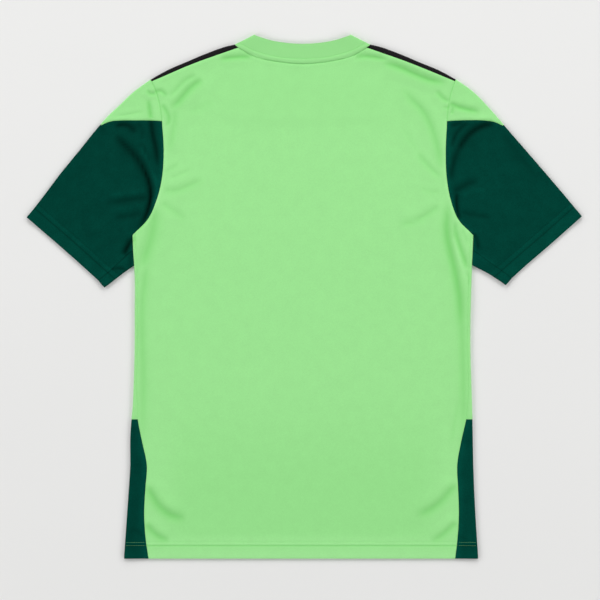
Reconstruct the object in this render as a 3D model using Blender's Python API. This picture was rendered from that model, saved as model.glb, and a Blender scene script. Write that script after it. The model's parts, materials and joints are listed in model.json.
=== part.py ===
# Football jersey laid flat with its back up. Each cut piece of cloth is one thin solid.
# Metres. +Y runs to the collar, +X to the wearer's right, +Z up. The jersey rests on z = 0.
import math

import bmesh
import bpy
import numpy as np

# Cloth
WALL = 0.0012  # knit of the body and sleeves
RIB_WALL = 0.0018  # collar, two layers of rib
SEAM_GAP = 0.0003  # between two pieces at a seam, and between two layers
FOLD_RADIUS = 0.0013  # middle of the cloth where it turns back on itself
TURN_STEPS = 4  # flats in half a turn of cloth
LOFT_REACH = 0.026  # how far from a fold the upper layer still stands off the lower one

# Body
HEM_Y = -0.3740
HEM_SPLIT = 0.1000  # half-width where the hem's spacing changes
UNDERARM_Y = 0.0869
UNDERARM_TURN = 0.0026  # how far down the armhole slants as it crosses the side fold
GUSSET_TOP_Y = -0.1763
SEAM_TURN_Y = -0.1300  # below this the side seam runs in to the gusset's corner
SEAM_INSET_TOP = 0.0041  # side seam from the folded side edge, at the underarm
SEAM_INSET_LOW = 0.0089  # the same at the top of the gusset

# Outlines, right half, as seen from above: (x, y)
BODY_SIDE = [(0.2432, 0.0862), (0.2410, 0.0300), (0.2400, -0.0700), (0.2424, -0.1560),
             (0.2430, -0.1763), (0.2445, -0.2417), (0.2474, -0.3060), (0.2513, HEM_Y)]
GUSSET_SEAM = [(0.2341, GUSSET_TOP_Y), (0.2268, -0.2100), (0.2222, -0.2420), (0.2240, -0.2750),
               (0.2252, -0.3150), (0.2228, -0.3500), (0.2193, HEM_Y)]
ARMHOLE_CAP = [(0.2171, 0.3070), (0.2105, 0.2886), (0.2062, 0.2680), (0.2044, 0.2505)]
ARMHOLE_SLEEVE = [(0.2044, 0.2505), (0.2022, 0.2074), (0.2040, 0.1700), (0.2105, 0.1380),
                  (0.2225, 0.1090), (0.2391, 0.0910)]
SHOULDER_SEAM = [(0.2171, 0.3070), (0.1500, 0.3346), (0.0915, 0.3552)]
COLLAR_SEAM = [(0.0915, 0.3552), (0.0708, 0.3435), (0.0379, 0.3358), (0.0000, 0.3323)]
COLLAR_TOP = [(0.0672, 0.3721), (0.0473, 0.3661), (0.0247, 0.3621), (0.0000, 0.3606)]
COLLAR_FOLD = [(0.0682, 0.3741), (0.0965, 0.3597)]
SHOULDER_FOLD = [(0.0965, 0.3597), (0.1080, 0.3572), (0.1394, 0.3461), (0.1666, 0.3346),
                 (0.1938, 0.3232), (0.2187, 0.3097)]
CAP_FOLD = [(0.2187, 0.3097), (0.2410, 0.2946), (0.2696, 0.2660), (0.2880, 0.2447)]
SLEEVE_FOLD = [(0.2880, 0.2447), (0.3185, 0.2090), (0.3539, 0.1659), (0.3955, 0.1140)]
CAP_SEAM = [(0.2044, 0.2505), (0.2360, 0.2515), (0.2600, 0.2510), (0.2740, 0.2490)]
CUFF_CORNER = (0.2865, 0.0155)
CUFF_SEAM = (0.2949, 0.0256)  # where the underarm seam meets the cuff
UNDERARM_SEAM_Y = 0.0660  # where the underarm seam meets the body's side
FLAP_Y = 0.0442  # where the sleeve's lower fold meets the body's side
FLAP_MIDDLE = (0.2640, 0.0315)
FRONT_NECK = [(0.0925, 0.3400), (0.0870, 0.3200), (0.0730, 0.2920), (0.0450, 0.2690), (0.0000, 0.2610)]
FRONT_NECK_TOP = [(0.0672, 0.3721), (0.0660, 0.3500), (0.0600, 0.3250), (0.0480, 0.3050),
                  (0.0270, 0.2945), (0.0000, 0.2915)]

# Number of chords along each outline
CHORDS = {"collar_fold": 3, "shoulder": 16, "cap_fold": 10, "sleeve": 13, "collar": 5, "neck": 24,
          "cap": 9, "armhole": 20, "flap_side": 2, "side": 24, "gusset": 15}
INSERT_NECK = 5  # chords of the front neckline that border the shoulder insert
INSERT_ARMHOLE = 4  # chords of the armhole that border it on the front

# The collar's front band lifts the back panel that lies on it
NECK_RISE = 0.0006
NECK_Y = 0.2400
NECK_X = 0.1180
NECK_RAMP = 0.0180

# Creases of the upper layer: the line of the trough, its half-width, and the rise of the soft
# ridge to the left and to the right of it
CREASES = [
    ([(-0.146, 0.308), (-0.176, 0.288), (-0.190, 0.262)], 0.011, 0.0026, 0.0030),
    ([(-0.182, 0.258), (-0.190, 0.225), (-0.192, 0.190)], 0.010, 0.0014, 0.0020),
    ([(-0.200, 0.150), (-0.165, 0.158), (-0.127, 0.175)], 0.010, 0.0026, 0.0014),
    ([(-0.198, 0.134), (-0.180, 0.120), (-0.160, 0.104)], 0.010, 0.0014, 0.0018),
    ([(-0.212, 0.110), (-0.232, 0.050), (-0.235, -0.020), (-0.229, -0.160)], 0.011, 0.0026, 0.0004),
    ([(0.112, 0.336), (0.150, 0.322), (0.190, 0.3085), (0.212, 0.3045)], 0.010, 0.0022, 0.0026),
    ([(0.158, 0.286), (0.186, 0.248), (0.199, 0.190)], 0.010, 0.0018, 0.0020),
    ([(0.160, 0.202), (0.182, 0.184), (0.203, 0.168)], 0.010, 0.0014, 0.0018),
    ([(0.136, 0.101), (0.170, 0.113), (0.206, 0.133)], 0.010, 0.0014, 0.0020),
    ([(0.204, 0.140), (0.205, 0.085), (0.219, 0.023), (0.228, -0.040), (0.231, -0.135)],
     0.011, 0.0020, 0.0034),
    ([(-0.222, -0.262), (-0.205, -0.297), (-0.166, -0.320)], 0.010, 0.0030, 0.0020),
    ([(0.222, -0.262), (0.198, -0.294), (0.164, -0.314)], 0.010, 0.0020, 0.0028),
    ([(-0.266, 0.226), (-0.235, 0.195), (-0.219, 0.160), (-0.216, 0.125), (-0.228, 0.094)],
     0.011, 0.0034, 0.0022),
    ([(-0.276, 0.134), (-0.245, 0.139), (-0.214, 0.146)], 0.010, 0.0022, 0.0018),
    ([(0.264, 0.247), (0.237, 0.232), (0.222, 0.206), (0.216, 0.160)], 0.011, 0.0024, 0.0034),
    ([(0.221, 0.152), (0.234, 0.163), (0.252, 0.169)], 0.010, 0.0018, 0.0014),
    ([(0.190, 0.292), (0.214, 0.279), (0.252, 0.267)], 0.010, 0.0020, 0.0024),
]
CREASE_CHORDS = 8  # chords of a trough's line

# Finish of each cloth: colour, roughness
BODY_GREEN = ((0.332, 0.766, 0.287, 1.0), 0.55)
RIB_GREEN = ((0.318, 0.745, 0.275, 1.0), 0.65)
SLEEVE_GREEN = ((0.002, 0.048, 0.033, 1.0), 0.50)
INSERT_BLACK = ((0.010, 0.009, 0.010, 1.0), 0.55)

FINE = 400  # points of a curve before it is cut into chords
MERGE = 1e-6  # corners nearer than this are one


def smooth(points, chords):
    """Ends of equal chords along a soft curve through the given points."""
    points = np.array(points, float)
    along = np.concatenate([[0], np.cumsum(np.linalg.norm(np.diff(points, axis=0), axis=1))])
    slope = np.gradient(points, along, axis=0)
    at = np.linspace(0, along[-1], FINE)
    part = np.clip(np.searchsorted(along, at, side="right") - 1, 0, len(along) - 2)
    step = (along[part + 1] - along[part])[:, None]
    t = (at - along[part])[:, None] / step
    curve = ((1 + 2 * t) * (1 - t) ** 2 * points[part] + t * (1 - t) ** 2 * step * slope[part]
             + t * t * (3 - 2 * t) * points[part + 1] + t * t * (t - 1) * step * slope[part + 1])
    length = np.concatenate([[0], np.cumsum(np.linalg.norm(np.diff(curve, axis=0), axis=1))])
    stops = np.linspace(0, length[-1], chords + 1)
    return np.column_stack([np.interp(stops, length, curve[:, axis]) for axis in (0, 1)])


def join(*curves):
    """One curve from several that meet end to end."""
    return np.concatenate([curves[0]] + [curve[1:] for curve in curves[1:]])


def mirrored(curve):
    return curve * (-1, 1)


def both_halves(curve):
    """A curve that ends on the middle line, carried on to the other half: left to right."""
    return join(mirrored(curve), curve[::-1])


def body_half(y):
    """Half-width of the folded body at a height."""
    side = smooth(BODY_SIDE, FINE)[::-1]
    return np.interp(y, side[:, 1], side[:, 0])


def outward(curve):
    """Unit vectors square to a curve, to the left of its direction."""
    along = np.gradient(curve, axis=0)
    along /= np.linalg.norm(along, axis=1)[:, None]
    return np.column_stack([-along[:, 1], along[:, 0]])


def fill(low, high, left, right):
    """Points that fill four curves; low and high run left to right, left and right run up."""
    u = np.linspace(0, 1, len(low))[None, :, None]
    v = np.linspace(0, 1, len(left))[:, None, None]
    across = (1 - v) * low[None] + v * high[None]
    up = (1 - u) * left[:, None] + u * right[:, None]
    corners = (1 - v) * ((1 - u) * low[0] + u * low[-1]) + v * ((1 - u) * high[0] + u * high[-1])
    return across + up - corners


def bump(t):
    """A soft hill of height 1 at 0 that ends at -1 and 1."""
    return np.where(np.abs(t) < 1, (1 - np.minimum(t * t, 1)) ** 2, 0)


def ramp(t):
    t = np.clip(t, 0, 1)
    return t * t * (3 - 2 * t)


def beside(x, y, line):
    """Distance of each point from a line, more than 0 to its left, and the part of its length there."""
    lengths = np.linalg.norm(np.diff(line, axis=0), axis=1)
    starts = np.cumsum(lengths) - lengths
    aside = np.full(x.shape, 1.0)
    along = np.zeros(x.shape)
    for (ax, ay), (bx, by), length, start in zip(line[:-1], line[1:], lengths, starts):
        dx, dy = (bx - ax) / length, (by - ay) / length
        reach = np.clip((x - ax) * dx + (y - ay) * dy, 0, length)
        gap = np.hypot(x - ax - reach * dx, y - ay - reach * dy)
        nearer = gap < np.abs(aside)
        side = np.where(dx * (y - ay) - dy * (x - ax) < 0, -1, 1)
        aside = np.where(nearer, side * gap, aside)
        along = np.where(nearer, (start + reach) / lengths.sum(), along)
    return aside, along


def creased(x, y):
    """Rise of the creases above the smooth upper layer."""
    rise = np.zeros(x.shape)
    for points, spread, left, right in CREASES:
        aside, along = beside(x, y, smooth(points, CREASE_CHORDS))
        fade = bump((2 * along - 1) ** 2)
        rise += fade * (left * bump(aside / spread - 1) + right * bump(aside / spread + 1))
    return rise


def upper(plan, folds):
    """Middle of the upper layer: it lies on the lower one and rises to each fold."""
    x, y = plan[..., 0], plan[..., 1]
    layer = WALL + SEAM_GAP
    reach = np.min([np.abs(beside(x, y, fold)[0]) for fold in folds], axis=0)
    loft = (2 * FOLD_RADIUS - layer) * bump(reach / LOFT_REACH)
    neck = NECK_RISE * ramp((y - NECK_Y) / NECK_RAMP) * ramp((NECK_X - np.abs(x)) / NECK_RAMP)
    return WALL / 2 + layer + loft + neck + creased(x, y)


def lower(plan, wall=WALL):
    """Middle of the lower layer, which lies flat."""
    return np.full(plan.shape[:-1], wall / 2)


def lay(bm, plan, height):
    """Adds a grid of cloth with the given plan and height."""
    rows, columns = plan.shape[:2]
    grid = bmesh.ops.create_grid(bm, x_segments=columns - 1, y_segments=rows - 1, size=0.5)
    for vertex, (x, y), z in zip(grid["verts"], plan.reshape(-1, 2), height.ravel()):
        vertex.co = (x, y, z)


def turn(bm, tangent, outline, low, high, wall=WALL):
    """Adds half a turn of cloth round a fold, from the lower layer to the upper one."""
    reach = (outline - tangent) * FOLD_RADIUS / (FOLD_RADIUS + wall / 2)
    angles = np.linspace(0, math.pi, TURN_STEPS + 1)
    plan = np.array([tangent + reach * math.sin(angle) for angle in angles])
    height = np.array([low + (high - low) * (1 - math.cos(angle)) / 2 for angle in angles])
    lay(bm, plan, height)


def trim(bm, margin):
    """Takes a margin off every free edge, along the cloth."""
    moves = {}
    for vertex in bm.verts:
        inward = []
        for edge in vertex.link_edges:
            if edge.is_boundary:
                line = (edge.verts[1].co - edge.verts[0].co).normalized()
                face = edge.link_faces[0].calc_center_median() - vertex.co
                inward.append((face - line * face.dot(line)).normalized())
        if len(inward) == 2:
            total = inward[0] + inward[1]
            moves[vertex] = total * margin / max(0.5, 1 + inward[0].dot(inward[1]))
    for vertex, move in moves.items():
        vertex.co += move


def finish(bm, name, wall, colour, roughness):
    """Closes the sheets of one piece into a wall of cloth with its own material."""
    bmesh.ops.remove_doubles(bm, verts=bm.verts, dist=MERGE)
    bmesh.ops.recalc_face_normals(bm, faces=bm.faces)
    trim(bm, SEAM_GAP / 2)
    mesh = bpy.data.meshes.new(name)
    bm.to_mesh(mesh)
    bm.free()
    mesh.shade_smooth()
    piece = bpy.data.objects.new(name, mesh)
    bpy.context.scene.collection.objects.link(piece)
    thickness = piece.modifiers.new("Wall", "SOLIDIFY")
    thickness.thickness = wall
    thickness.offset = 0
    thickness.use_even_offset = True
    material = bpy.data.materials.new(name)
    material.use_nodes = True
    shader = material.node_tree.nodes["Principled BSDF"]
    shader.inputs["Base Color"].default_value = colour
    shader.inputs["Roughness"].default_value = roughness
    shader.inputs["Metallic"].default_value = 0.0
    piece.data.materials.append(material)
    return piece


def inset(outline, wall=WALL):
    """From where the cloth starts to turn to the outline of the fold."""
    return (FOLD_RADIUS + wall / 2) * outward(outline)


# Folds, right half, from the collar outwards and then down
TOP_PARTS = ((COLLAR_FOLD, "collar_fold"), (SHOULDER_FOLD, "shoulder"), (CAP_FOLD, "cap_fold"),
             (SLEEVE_FOLD, "sleeve"))
TOP_FOLD = join(*(smooth(points, CHORDS[name]) for points, name in TOP_PARTS))
TOP_TANGENT = TOP_FOLD - inset(TOP_FOLD)
RIB_TANGENT = TOP_FOLD - inset(TOP_FOLD, RIB_WALL)
TOP_ENDS = np.cumsum([0] + [CHORDS[name] for points, name in TOP_PARTS])
COLLAR, INSERT, CAP, SLEEVE = (slice(start, end + 1) for start, end in zip(TOP_ENDS[:-1], TOP_ENDS[1:]))

SIDE_FOLD = join(smooth(BODY_SIDE[:5], CHORDS["side"]), smooth(BODY_SIDE[4:], CHORDS["gusset"]))
SIDE_TANGENT = SIDE_FOLD - (FOLD_RADIUS + WALL / 2, 0)
SIDE_TANGENT[0, 1] += UNDERARM_TURN
SIDE = slice(0, CHORDS["side"] + 1)
GUSSET = slice(CHORDS["side"], None)

FLAP_START = (body_half(FLAP_Y) + SEAM_GAP / 2, FLAP_Y)
FLAP_FOLD = smooth([FLAP_START, FLAP_MIDDLE, CUFF_CORNER], CHORDS["sleeve"])
FLAP_TANGENT = FLAP_FOLD + inset(FLAP_FOLD)
FLAP_TANGENT[0] = FLAP_START[0], np.interp(FLAP_START[0], *FLAP_TANGENT[:2].T)

BODY_FOLDS = [TOP_FOLD, SIDE_FOLD]
SLEEVE_FOLDS = [TOP_FOLD, FLAP_FOLD]

# Seams, right half
SHOULDER_LINE = smooth(SHOULDER_SEAM, CHORDS["shoulder"])
COLLAR_LINE = smooth(COLLAR_SEAM, CHORDS["collar"])
CAP_ARMHOLE = smooth(ARMHOLE_CAP, CHORDS["cap"])
SLEEVE_ARMHOLE = smooth(ARMHOLE_SLEEVE, CHORDS["armhole"])
GUSSET_LINE = smooth(GUSSET_SEAM, CHORDS["gusset"])
SEAM_INSET = np.interp(SIDE_FOLD[SIDE, 1], (GUSSET_TOP_Y, SEAM_TURN_Y, UNDERARM_Y),
                       (SEAM_INSET_LOW, SEAM_INSET_TOP, SEAM_INSET_TOP))
SIDE_LINE = SIDE_FOLD[SIDE] - np.column_stack([SEAM_INSET, 0 * SEAM_INSET])
SIDE_LINE[0] = ARMHOLE_SLEEVE[-1]
CAP_LINE = smooth(CAP_SEAM + [TOP_TANGENT[TOP_ENDS[3]]], CHORDS["cap"] + 1)
NECK_LINE = smooth([TOP_TANGENT[TOP_ENDS[1]]] + FRONT_NECK, CHORDS["neck"])
INSERT_LINE = smooth([NECK_LINE[INSERT_NECK], CAP_ARMHOLE[INSERT_ARMHOLE]], CHORDS["shoulder"])
BODY_EDGE = join(GUSSET_LINE[::-1], SIDE_LINE[::-1], SLEEVE_ARMHOLE[::-1])  # hem to cap seam


def hem(chords):
    """The hem's right half, from the gusset to the middle line."""
    outer = smooth([GUSSET_LINE[-1], (HEM_SPLIT, HEM_Y)], CHORDS["shoulder"])
    return join(outer, smooth([(HEM_SPLIT, HEM_Y), (0, HEM_Y)], chords))


def wrap(bm, side, part, low_seam, high_seam, tangent, outline, folds):
    """Cloth round a fold: a strip of the lower layer, the turn and a strip of the upper layer."""
    half = (side, 1)
    low_strip = np.array([low_seam, tangent[part]]) * half
    high_strip = np.array([high_seam, tangent[part]]) * half
    lay(bm, low_strip, lower(low_strip))
    lay(bm, high_strip, upper(high_strip, folds))
    turn(bm, tangent[part] * half, outline[part] * half, lower(low_strip)[1], upper(high_strip, folds)[1])


def back_panel():
    bm = bmesh.new()
    top = both_halves(join(SHOULDER_LINE, COLLAR_LINE))
    edge = join(BODY_EDGE, CAP_ARMHOLE[::-1])
    plan = fill(both_halves(hem(CHORDS["collar"])), top, mirrored(edge), edge)
    lay(bm, plan, upper(plan, BODY_FOLDS))
    finish(bm, "back_panel", WALL, *BODY_GREEN)


def front_panel():
    bm = bmesh.new()
    top = both_halves(join(INSERT_LINE[::-1], NECK_LINE[INSERT_NECK:]))
    edge = join(BODY_EDGE, CAP_ARMHOLE[:INSERT_ARMHOLE - 1:-1])
    plan = fill(both_halves(hem(CHORDS["neck"] - INSERT_NECK)), top, mirrored(edge), edge)
    lay(bm, plan, lower(plan))
    for side in (-1, 1):
        wrap(bm, side, SIDE, SIDE_LINE, SIDE_LINE, SIDE_TANGENT, SIDE_FOLD, BODY_FOLDS)
    finish(bm, "front_panel", WALL, *BODY_GREEN)


def side_gusset(side, name):
    bm = bmesh.new()
    wrap(bm, side, GUSSET, GUSSET_LINE, GUSSET_LINE, SIDE_TANGENT, SIDE_FOLD, BODY_FOLDS)
    finish(bm, name, WALL, *SLEEVE_GREEN)


def shoulder_insert(side, name):
    """Black panel over the shoulder: a narrow strip on the back, the rest on the front."""
    bm = bmesh.new()
    half = (side, 1)
    tangent = TOP_TANGENT[INSERT]
    wrap(bm, side, INSERT, tangent, SHOULDER_LINE[::-1], TOP_TANGENT, TOP_FOLD, BODY_FOLDS)
    armhole = np.vstack([tangent[-1:], CAP_ARMHOLE[:INSERT_ARMHOLE + 1]])
    plan = fill(tangent, INSERT_LINE, NECK_LINE[:INSERT_NECK + 1], armhole) * half
    lay(bm, plan, lower(plan))
    finish(bm, name, WALL, *INSERT_BLACK)


def sleeve_cap(side, name):
    """Light panel at the top of the sleeve, between the armhole and the cap seam."""
    bm = bmesh.new()
    half = (side, 1)
    tangent = TOP_TANGENT[CAP]
    armhole = np.vstack([CAP_ARMHOLE[::-1], tangent[:1]])
    corner = np.repeat(armhole[:1], len(tangent), axis=0)
    plan = fill(corner, tangent, armhole, CAP_LINE) * half
    lay(bm, plan, upper(plan, SLEEVE_FOLDS))
    lay(bm, plan, lower(plan))
    turn(bm, tangent * half, TOP_FOLD[CAP] * half, lower(plan)[-1], upper(plan, SLEEVE_FOLDS)[-1])
    finish(bm, name, WALL, *BODY_GREEN)


def sleeve(side, name):
    """Dark sleeve, a flat tube: its seam lies on the back, just above the lower fold."""
    bm = bmesh.new()
    half = (side, 1)
    top = TOP_TANGENT[SLEEVE]
    seam_start = (body_half(UNDERARM_SEAM_Y) + SEAM_GAP / 2, UNDERARM_SEAM_Y)
    corner = (body_half(UNDERARM_Y) + SEAM_GAP / 2, UNDERARM_Y)
    flap_side = smooth([FLAP_TANGENT[0], seam_start], CHORDS["flap_side"])
    flap_cuff = smooth([FLAP_TANGENT[-1], CUFF_SEAM], CHORDS["flap_side"])
    body_side = join(smooth([seam_start, corner], CHORDS["flap_side"]), np.array([corner, SIDE_TANGENT[0]]))
    armhole = join(body_side, np.array([SIDE_TANGENT[0], SIDE_LINE[0]]), SLEEVE_ARMHOLE[::-1], CAP_LINE)
    cuff = smooth([CUFF_SEAM, top[-1]], len(armhole) - 1)
    seam = smooth([seam_start, CUFF_SEAM], CHORDS["sleeve"])
    back = fill(seam, top, armhole, cuff) * half
    flap = fill(FLAP_TANGENT, seam, flap_side, flap_cuff) * half
    front = fill(FLAP_TANGENT, top, join(flap_side, armhole), join(flap_cuff, cuff)) * half
    lay(bm, back, upper(back, SLEEVE_FOLDS))
    lay(bm, flap, upper(flap, SLEEVE_FOLDS))
    lay(bm, front, lower(front))
    turn(bm, top * half, TOP_FOLD[SLEEVE] * half, lower(front)[-1], upper(back, SLEEVE_FOLDS)[-1])
    turn(bm, FLAP_TANGENT * half, FLAP_FOLD * half, lower(front)[0], upper(flap, SLEEVE_FOLDS)[0])
    finish(bm, name, WALL, *SLEEVE_GREEN)


def collar():
    """Ring of rib: its back half lies on the jersey's upper layer and its front half under it."""
    bm = bmesh.new()
    tangent = RIB_TANGENT[COLLAR]
    rise = (RIB_WALL - WALL) / 2
    seam = np.vstack([tangent[-1:], COLLAR_LINE])
    top = smooth([tangent[0]] + COLLAR_TOP[1:], len(seam) - 1)
    back = fill(both_halves(seam), both_halves(top), mirrored(tangent[::-1]), tangent[::-1])
    front_seam = np.vstack([tangent[-1:], NECK_LINE[1:]])
    front_top = smooth([tangent[0]] + FRONT_NECK_TOP[1:], len(front_seam) - 1)
    front = fill(both_halves(front_seam), both_halves(front_top), mirrored(tangent[::-1]), tangent[::-1])
    lay(bm, back, upper(back, BODY_FOLDS) + rise)
    lay(bm, front, lower(front, RIB_WALL))
    for side in (-1, 1):
        edge = tangent * (side, 1)
        turn(bm, edge, TOP_FOLD[COLLAR] * (side, 1), lower(edge, RIB_WALL), upper(edge, BODY_FOLDS) + rise,
             RIB_WALL)
    finish(bm, "collar", RIB_WALL, *RIB_GREEN)


def main():
    for item in list(bpy.data.objects):
        bpy.data.objects.remove(item)
    back_panel()
    front_panel()
    collar()
    for side, wearer in ((-1, "left"), (1, "right")):
        shoulder_insert(side, "shoulder_insert_" + wearer)
        sleeve_cap(side, "sleeve_cap_" + wearer)
        sleeve(side, "sleeve_" + wearer)
        side_gusset(side, "side_gusset_" + wearer)


main()
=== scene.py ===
"""Looks of a football jersey laid flat with its back up: cloth, creases, seams and stitches."""
import json
import math

import bmesh
import bpy
import numpy as np
from bpy.props import FloatProperty, FloatVectorProperty, PointerProperty
from mathutils import Matrix, Vector


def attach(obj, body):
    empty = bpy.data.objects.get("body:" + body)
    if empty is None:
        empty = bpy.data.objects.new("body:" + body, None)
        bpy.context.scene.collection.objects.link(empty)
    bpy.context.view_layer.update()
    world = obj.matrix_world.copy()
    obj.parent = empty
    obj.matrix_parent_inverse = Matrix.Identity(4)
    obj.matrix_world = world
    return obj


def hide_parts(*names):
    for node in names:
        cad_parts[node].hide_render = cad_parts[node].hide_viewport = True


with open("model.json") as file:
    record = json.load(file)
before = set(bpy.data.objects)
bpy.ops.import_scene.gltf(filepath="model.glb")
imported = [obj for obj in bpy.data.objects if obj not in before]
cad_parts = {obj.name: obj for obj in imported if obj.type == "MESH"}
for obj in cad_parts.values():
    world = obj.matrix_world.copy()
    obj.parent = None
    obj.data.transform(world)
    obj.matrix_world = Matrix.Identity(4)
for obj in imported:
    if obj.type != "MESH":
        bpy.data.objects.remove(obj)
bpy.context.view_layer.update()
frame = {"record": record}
FINISHES = {material["slot"]: material["base_color"] for material in frame["record"]["materials"]}

bl_info = {
    "name": "Laid Football Jersey",
    "version": (1, 0, 0),
    "blender": (4, 5, 0),
    "location": "View3D > Sidebar > Jersey",
    "description": "Dresses the cut pieces of a football jersey that lies flat",
    "category": "Add Mesh",
}

MM = 0.001
HALVES = (("left", (-1, 1)), ("right", (1, 1)))  # as worn, and what turns the right half into each

# Cloth
REACH = 0.0019  # from where the cloth starts to turn to the outline of the fold
UPPER_TOP = 0.0027  # outer face of the upper layer where it lies flat
FOLD_TOP = 0.0038  # the same at a fold
LOFT_REACH = 0.026  # how far from a fold the upper layer still stands off the lower one
TURN_STEPS = 10  # flats in half a turn of cloth
SEAM_GAP = 0.0001  # between neighbouring pieces
EDGE_STEPS = (0.2, 0.5)  # extra points in the chord next to a seam
PLATEAU = 0.06  # part of a grid whose lines run beside its edge
CUFF_PLATEAU = 0.30  # the same at the sleeve's cuff
CUFF_START = 11  # chords of the sleeve's length before its hem
LOWER_SHARE = 0.28  # how far the lower layer follows the creases of the upper one

# Body
HEM_Y = -0.3755
HEM_SPLIT = 0.1000  # from the middle to where the hem's chords change
UNDERARM_Y = 0.0869
UNDERARM_TURN = 0.0026  # how much higher the side's turn starts there
GUSSET_TOP_Y = -0.1763
SEAM_TURN_Y = -0.1300
SEAM_INSET_TOP = 0.0041  # from the side's fold to its seam, down to the turn
SEAM_INSET_LOW = 0.0089  # the same at the gusset's top

# Outlines, right half, as seen from above: (x, y)
BODY_SIDE = [(0.2432, 0.0862), (0.2410, 0.0300), (0.2400, -0.0700), (0.2424, -0.1560),
             (0.2430, -0.1763), (0.2445, -0.2417), (0.2474, -0.3060), (0.2513, HEM_Y)]
GUSSET_SEAM = [(0.2341, GUSSET_TOP_Y), (0.2268, -0.2100), (0.2222, -0.2420), (0.2240, -0.2750),
               (0.2252, -0.3150), (0.2228, -0.3500), (0.2193, HEM_Y)]
ARMHOLE_CAP = [(0.2171, 0.3070), (0.2105, 0.2886), (0.2062, 0.2680), (0.2044, 0.2505)]
ARMHOLE_SLEEVE = [(0.2044, 0.2505), (0.2022, 0.2074), (0.2040, 0.1700), (0.2105, 0.1380),
                  (0.2225, 0.1090), (0.2391, 0.0910)]
SHOULDER_SEAM = [(0.2171, 0.3070), (0.1500, 0.3346), (0.0915, 0.3552)]
COLLAR_SEAM = [(0.0915, 0.3552), (0.0708, 0.3435), (0.0379, 0.3358), (0.0000, 0.3323)]
COLLAR_TOP = [(0.0672, 0.3721), (0.0473, 0.3661), (0.0247, 0.3621), (0.0000, 0.3606)]
COLLAR_FOLD = [(0.0682, 0.3741), (0.0965, 0.3597)]
COLLAR_STRIP = [(0.0990, 0.3606), (0.0852, 0.3585), (0.0744, 0.3526), (0.0598, 0.3475),
                (0.0452, 0.3435), (0.0307, 0.3409), (0.0087, 0.3393), (0.0000, 0.3391)]
SHOULDER_FOLD = [(0.0965, 0.3597), (0.1080, 0.3572), (0.1394, 0.3461), (0.1666, 0.3346),
                 (0.1938, 0.3232), (0.2187, 0.3097)]
CAP_FOLD = [(0.2187, 0.3097), (0.2410, 0.2946), (0.2696, 0.2660), (0.2880, 0.2447)]
SLEEVE_FOLD = [(0.2880, 0.2447), (0.3185, 0.2090), (0.3539, 0.1659), (0.3955, 0.1140)]
CAP_SEAM = [(0.2044, 0.2505), (0.2360, 0.2515), (0.2600, 0.2510), (0.2740, 0.2490)]
CUFF_CORNER = (0.2865, 0.0155)
CUFF_SEAM = (0.2949, 0.0256)
UNDERARM_SEAM_Y = 0.0660
FLAP_Y = 0.0442
FLAP_MIDDLE = (0.2640, 0.0315)
FRONT_NECK = [(0.0925, 0.3400), (0.0870, 0.3200), (0.0730, 0.2920), (0.0450, 0.2690),
              (0.0000, 0.2610)]
FRONT_NECK_TOP = [(0.0672, 0.3721), (0.0660, 0.3500), (0.0600, 0.3250), (0.0480, 0.3050),
                  (0.0270, 0.2945), (0.0000, 0.2915)]

# Number of chords along each outline at a fineness of 1
CHORDS = {"collar_fold": 3, "shoulder": 16, "cap_fold": 10, "sleeve": 13, "collar": 5, "neck": 24,
          "cap": 9, "armhole": 20, "flap_side": 2, "side": 24, "gusset": 15}
INSERT_NECK = 5  # chords of the neckline that the insert takes up, at a fineness of 1
INSERT_ARMHOLE = 4  # the same of the armhole
SIDE_CHORDS = 3  # between the fold of the side and the seam on the back
GUSSET_CHORDS = 10  # the same at the gusset
COLLAR_ROWS = 40  # across the collar's band
FINE = 400  # points of a curve before it is cut into chords
MERGE = 1e-6  # distance under which two vertices become one

# The collar's front band lifts the back panel that lies on it
NECK_RISE = 0.0006
NECK_Y = 0.2400
NECK_X = 0.1180
NECK_RAMP = 0.0180

# How the cloth is pulled out of its even cut as it lies, in millimetres: the centre of each pull,
# its reach across and up, and the move there
PULLS = (
    ((-203.5, 215), (55, 160), (3.7, 0)),
    ((203.5, 215), (55, 150), (2.6, 0)),
    ((-250, 285), (50, 50), (1.2, -1.2)),
    ((-290, 245), (50, 50), (-0.9, 0.9)),
    ((-381, 126), (70, 70), (1, -1.6)),
    ((-280, 20), (60, 60), (3, -3.6)),
    ((380, 60), (190, 190), (5, 0)),
    ((286.5, 18), (45, 45), (1.8, 0)),
    ((-260, -390), (55, 280), (-4.3, 0)),
    ((-230, -200), (50, 50), (-2.2, 0)),
    ((222, -310), (35, 140), (-1.7, 0)),
)

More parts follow.
